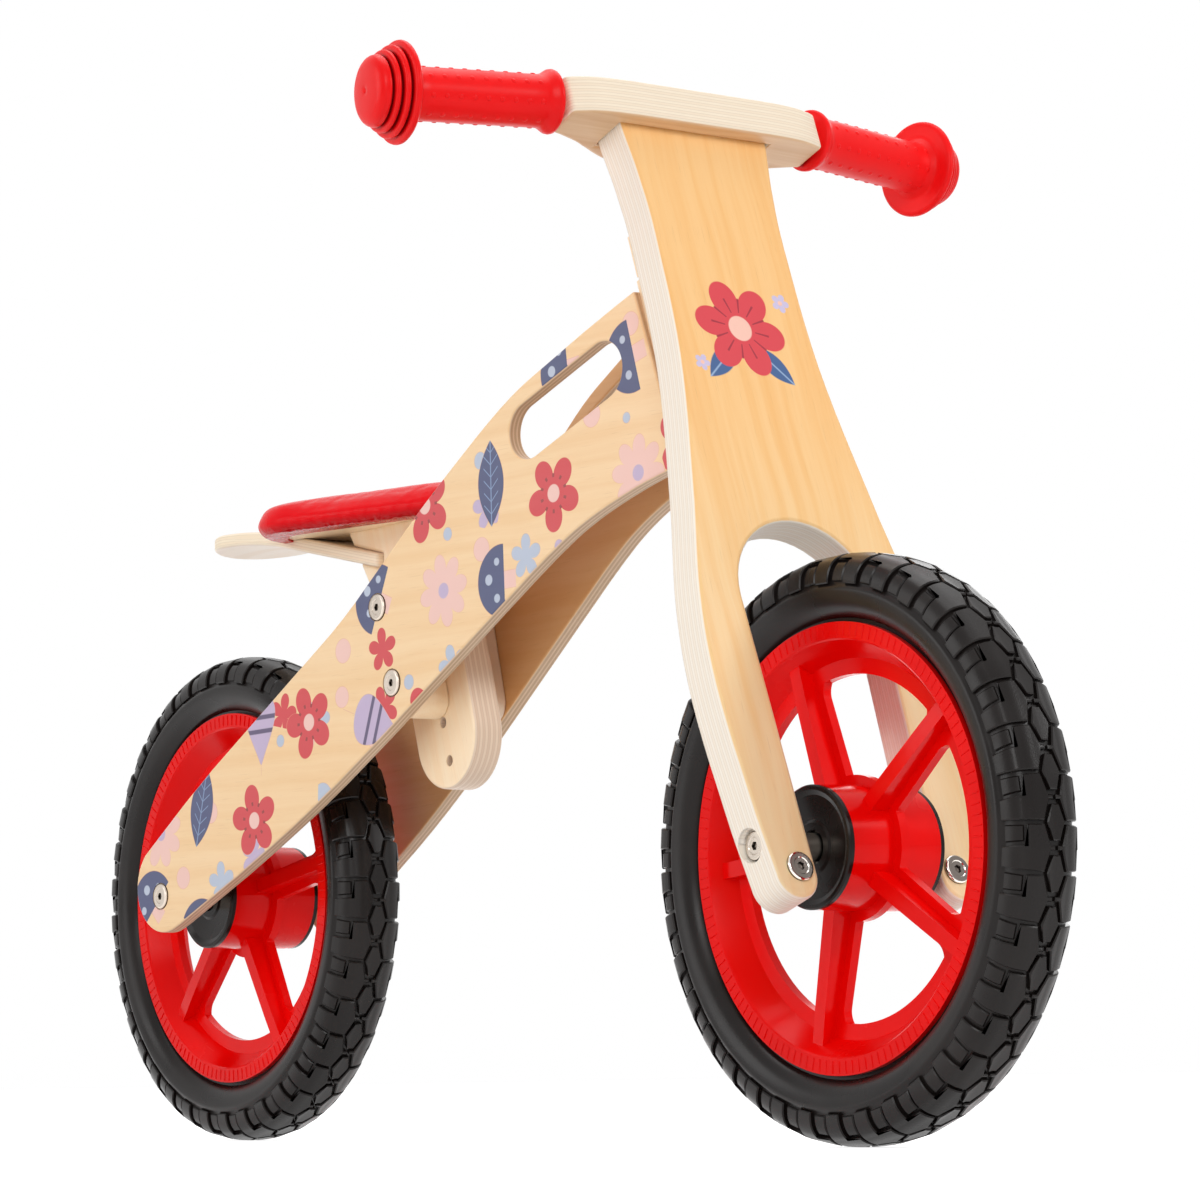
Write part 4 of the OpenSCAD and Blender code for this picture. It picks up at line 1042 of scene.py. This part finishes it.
def swell(mesh, low):
    # the foam's pressure fills the cover out, up to a limit
    still = [vert.co.copy() for vert in mesh.vertices]
    holder = addObject("cushion", mesh)
    stapled = holder.vertex_groups.new(name="stapled")
    stapled.add([vert.index for vert in mesh.vertices if vert.co.z < low + saddle["stapled"]], 1.0, "REPLACE")
    cloth = holder.modifiers.new("padding", "CLOTH")
    cloth.settings.vertex_group_mass = "stapled"
    cloth.settings.use_pressure = True
    cloth.settings.uniform_pressure_force = saddle["pressure"]
    cloth.settings.effector_weights.gravity = 0
    cloth.settings.tension_stiffness = cloth.settings.compression_stiffness = 30
    cloth.point_cache.frame_start, cloth.point_cache.frame_end = 1, saddle["frames"]
    for frameNumber in range(1, saddle["frames"] + 1):
        scene.frame_set(frameNumber)
    mesh = bakedMesh(holder, "cushion")
    scene.frame_set(1)
    for vert, before in zip(mesh.vertices, still):
        move = vert.co - before
        if move.length > saddle["cap"]:
            vert.co = before + move.normalized() * saddle["cap"]
    return mesh


def makeCushion():
    bm = mergedCopy("saddle_cushion")
    hull = bmesh.ops.convex_hull(bm, input=bm.verts)
    spare = [item for item in hull["geom_interior"] + hull["geom_unused"] if isinstance(item, bmesh.types.BMVert)]
    bmesh.ops.delete(bm, geom=spare, context="VERTS")
    low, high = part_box("saddle_cushion")
    centre, size = (low + high) / 2, high - low
    scale = [(size[k] - 2 * saddle["shrink"]) / size[k] for k in range(3)]
    for vert in bm.verts:
        vert.co = centre + Vector((vert.co - centre)[k] * scale[k] for k in range(3))
    holder = addObject("cushion", toMesh(bm, "cushion", False))
    remesh = holder.modifiers.new("even mesh", "REMESH")
    remesh.mode, remesh.voxel_size = "VOXEL", saddle["voxel"]
    mesh = bakedMesh(holder, "cushion")
    mesh = swell(mesh, low.z)
    return mesh


lipLow = baseLow - saddle["lip"]
cushionMesh = makeCushion()
# the underside is drawn flat over the board's edge, and the foam swells above it only
for vert in cushionMesh.vertices:
    if vert.co.z < lipLow + 1.0 * mm:
        vert.co.z = lipLow
holder = addObject("cushion", cushionMesh)
fine = holder.modifiers.new("fine", "SUBSURF")
fine.levels = fine.render_levels = 1
holder = addObject("cushion", bakedMesh(holder, "cushion"))
cutters = [prism("boardPocket", saddlePlan(saddle["pocketIn"]), baseLow, baseLow + saddle["board"]),
           prism("lipOpening", saddlePlan(saddle["lipIn"], saddle["lipWaist"]), lipLow - 5 * mm, baseLow + 1 * mm)]
for cutter in cutters:
    cut = holder.modifiers.new("cut", "BOOLEAN")
    cut.operation, cut.object, cut.solver = "DIFFERENCE", cutter, "EXACT"
cushionMesh = smoothed(bakedMesh(holder, "saddleCushion"), 50)
for cutter in cutters:
    bpy.data.objects.remove(cutter)
cushion = newPiece("saddleCushion", cushionMesh, "frame", redVinyl, ["saddle_cushion"])
print("saddle padded")

# every other part is zinc-plated steel
finishes = {part: finish for finish, parts in (
    (redPlastic, ("front_wheel", "rear_wheel")),
    (blackPlastic, ("front_hub_caps", "rear_hub_caps", "upper_steering_bush", "lower_steering_bush")),
    (nickelSteel, ("fork_foot_bolts", "fork_foot_nuts")), (blackTyre, ("front_tyre", "rear_tyre")),
    (redRubber, ("right_grip", "left_grip")), (redVinyl, ("saddle_cushion",)), (basePly, ("saddle_base",)),
    (spacerWood, ("head_block", "head_dowels", "upper_steering_block", "lower_steering_block"))) for part in parts}

for name, node in nodes.items():
    node.data.materials.clear()
    node.data.materials.append(finishes.get(name, zincSteel))
print("parts finished")
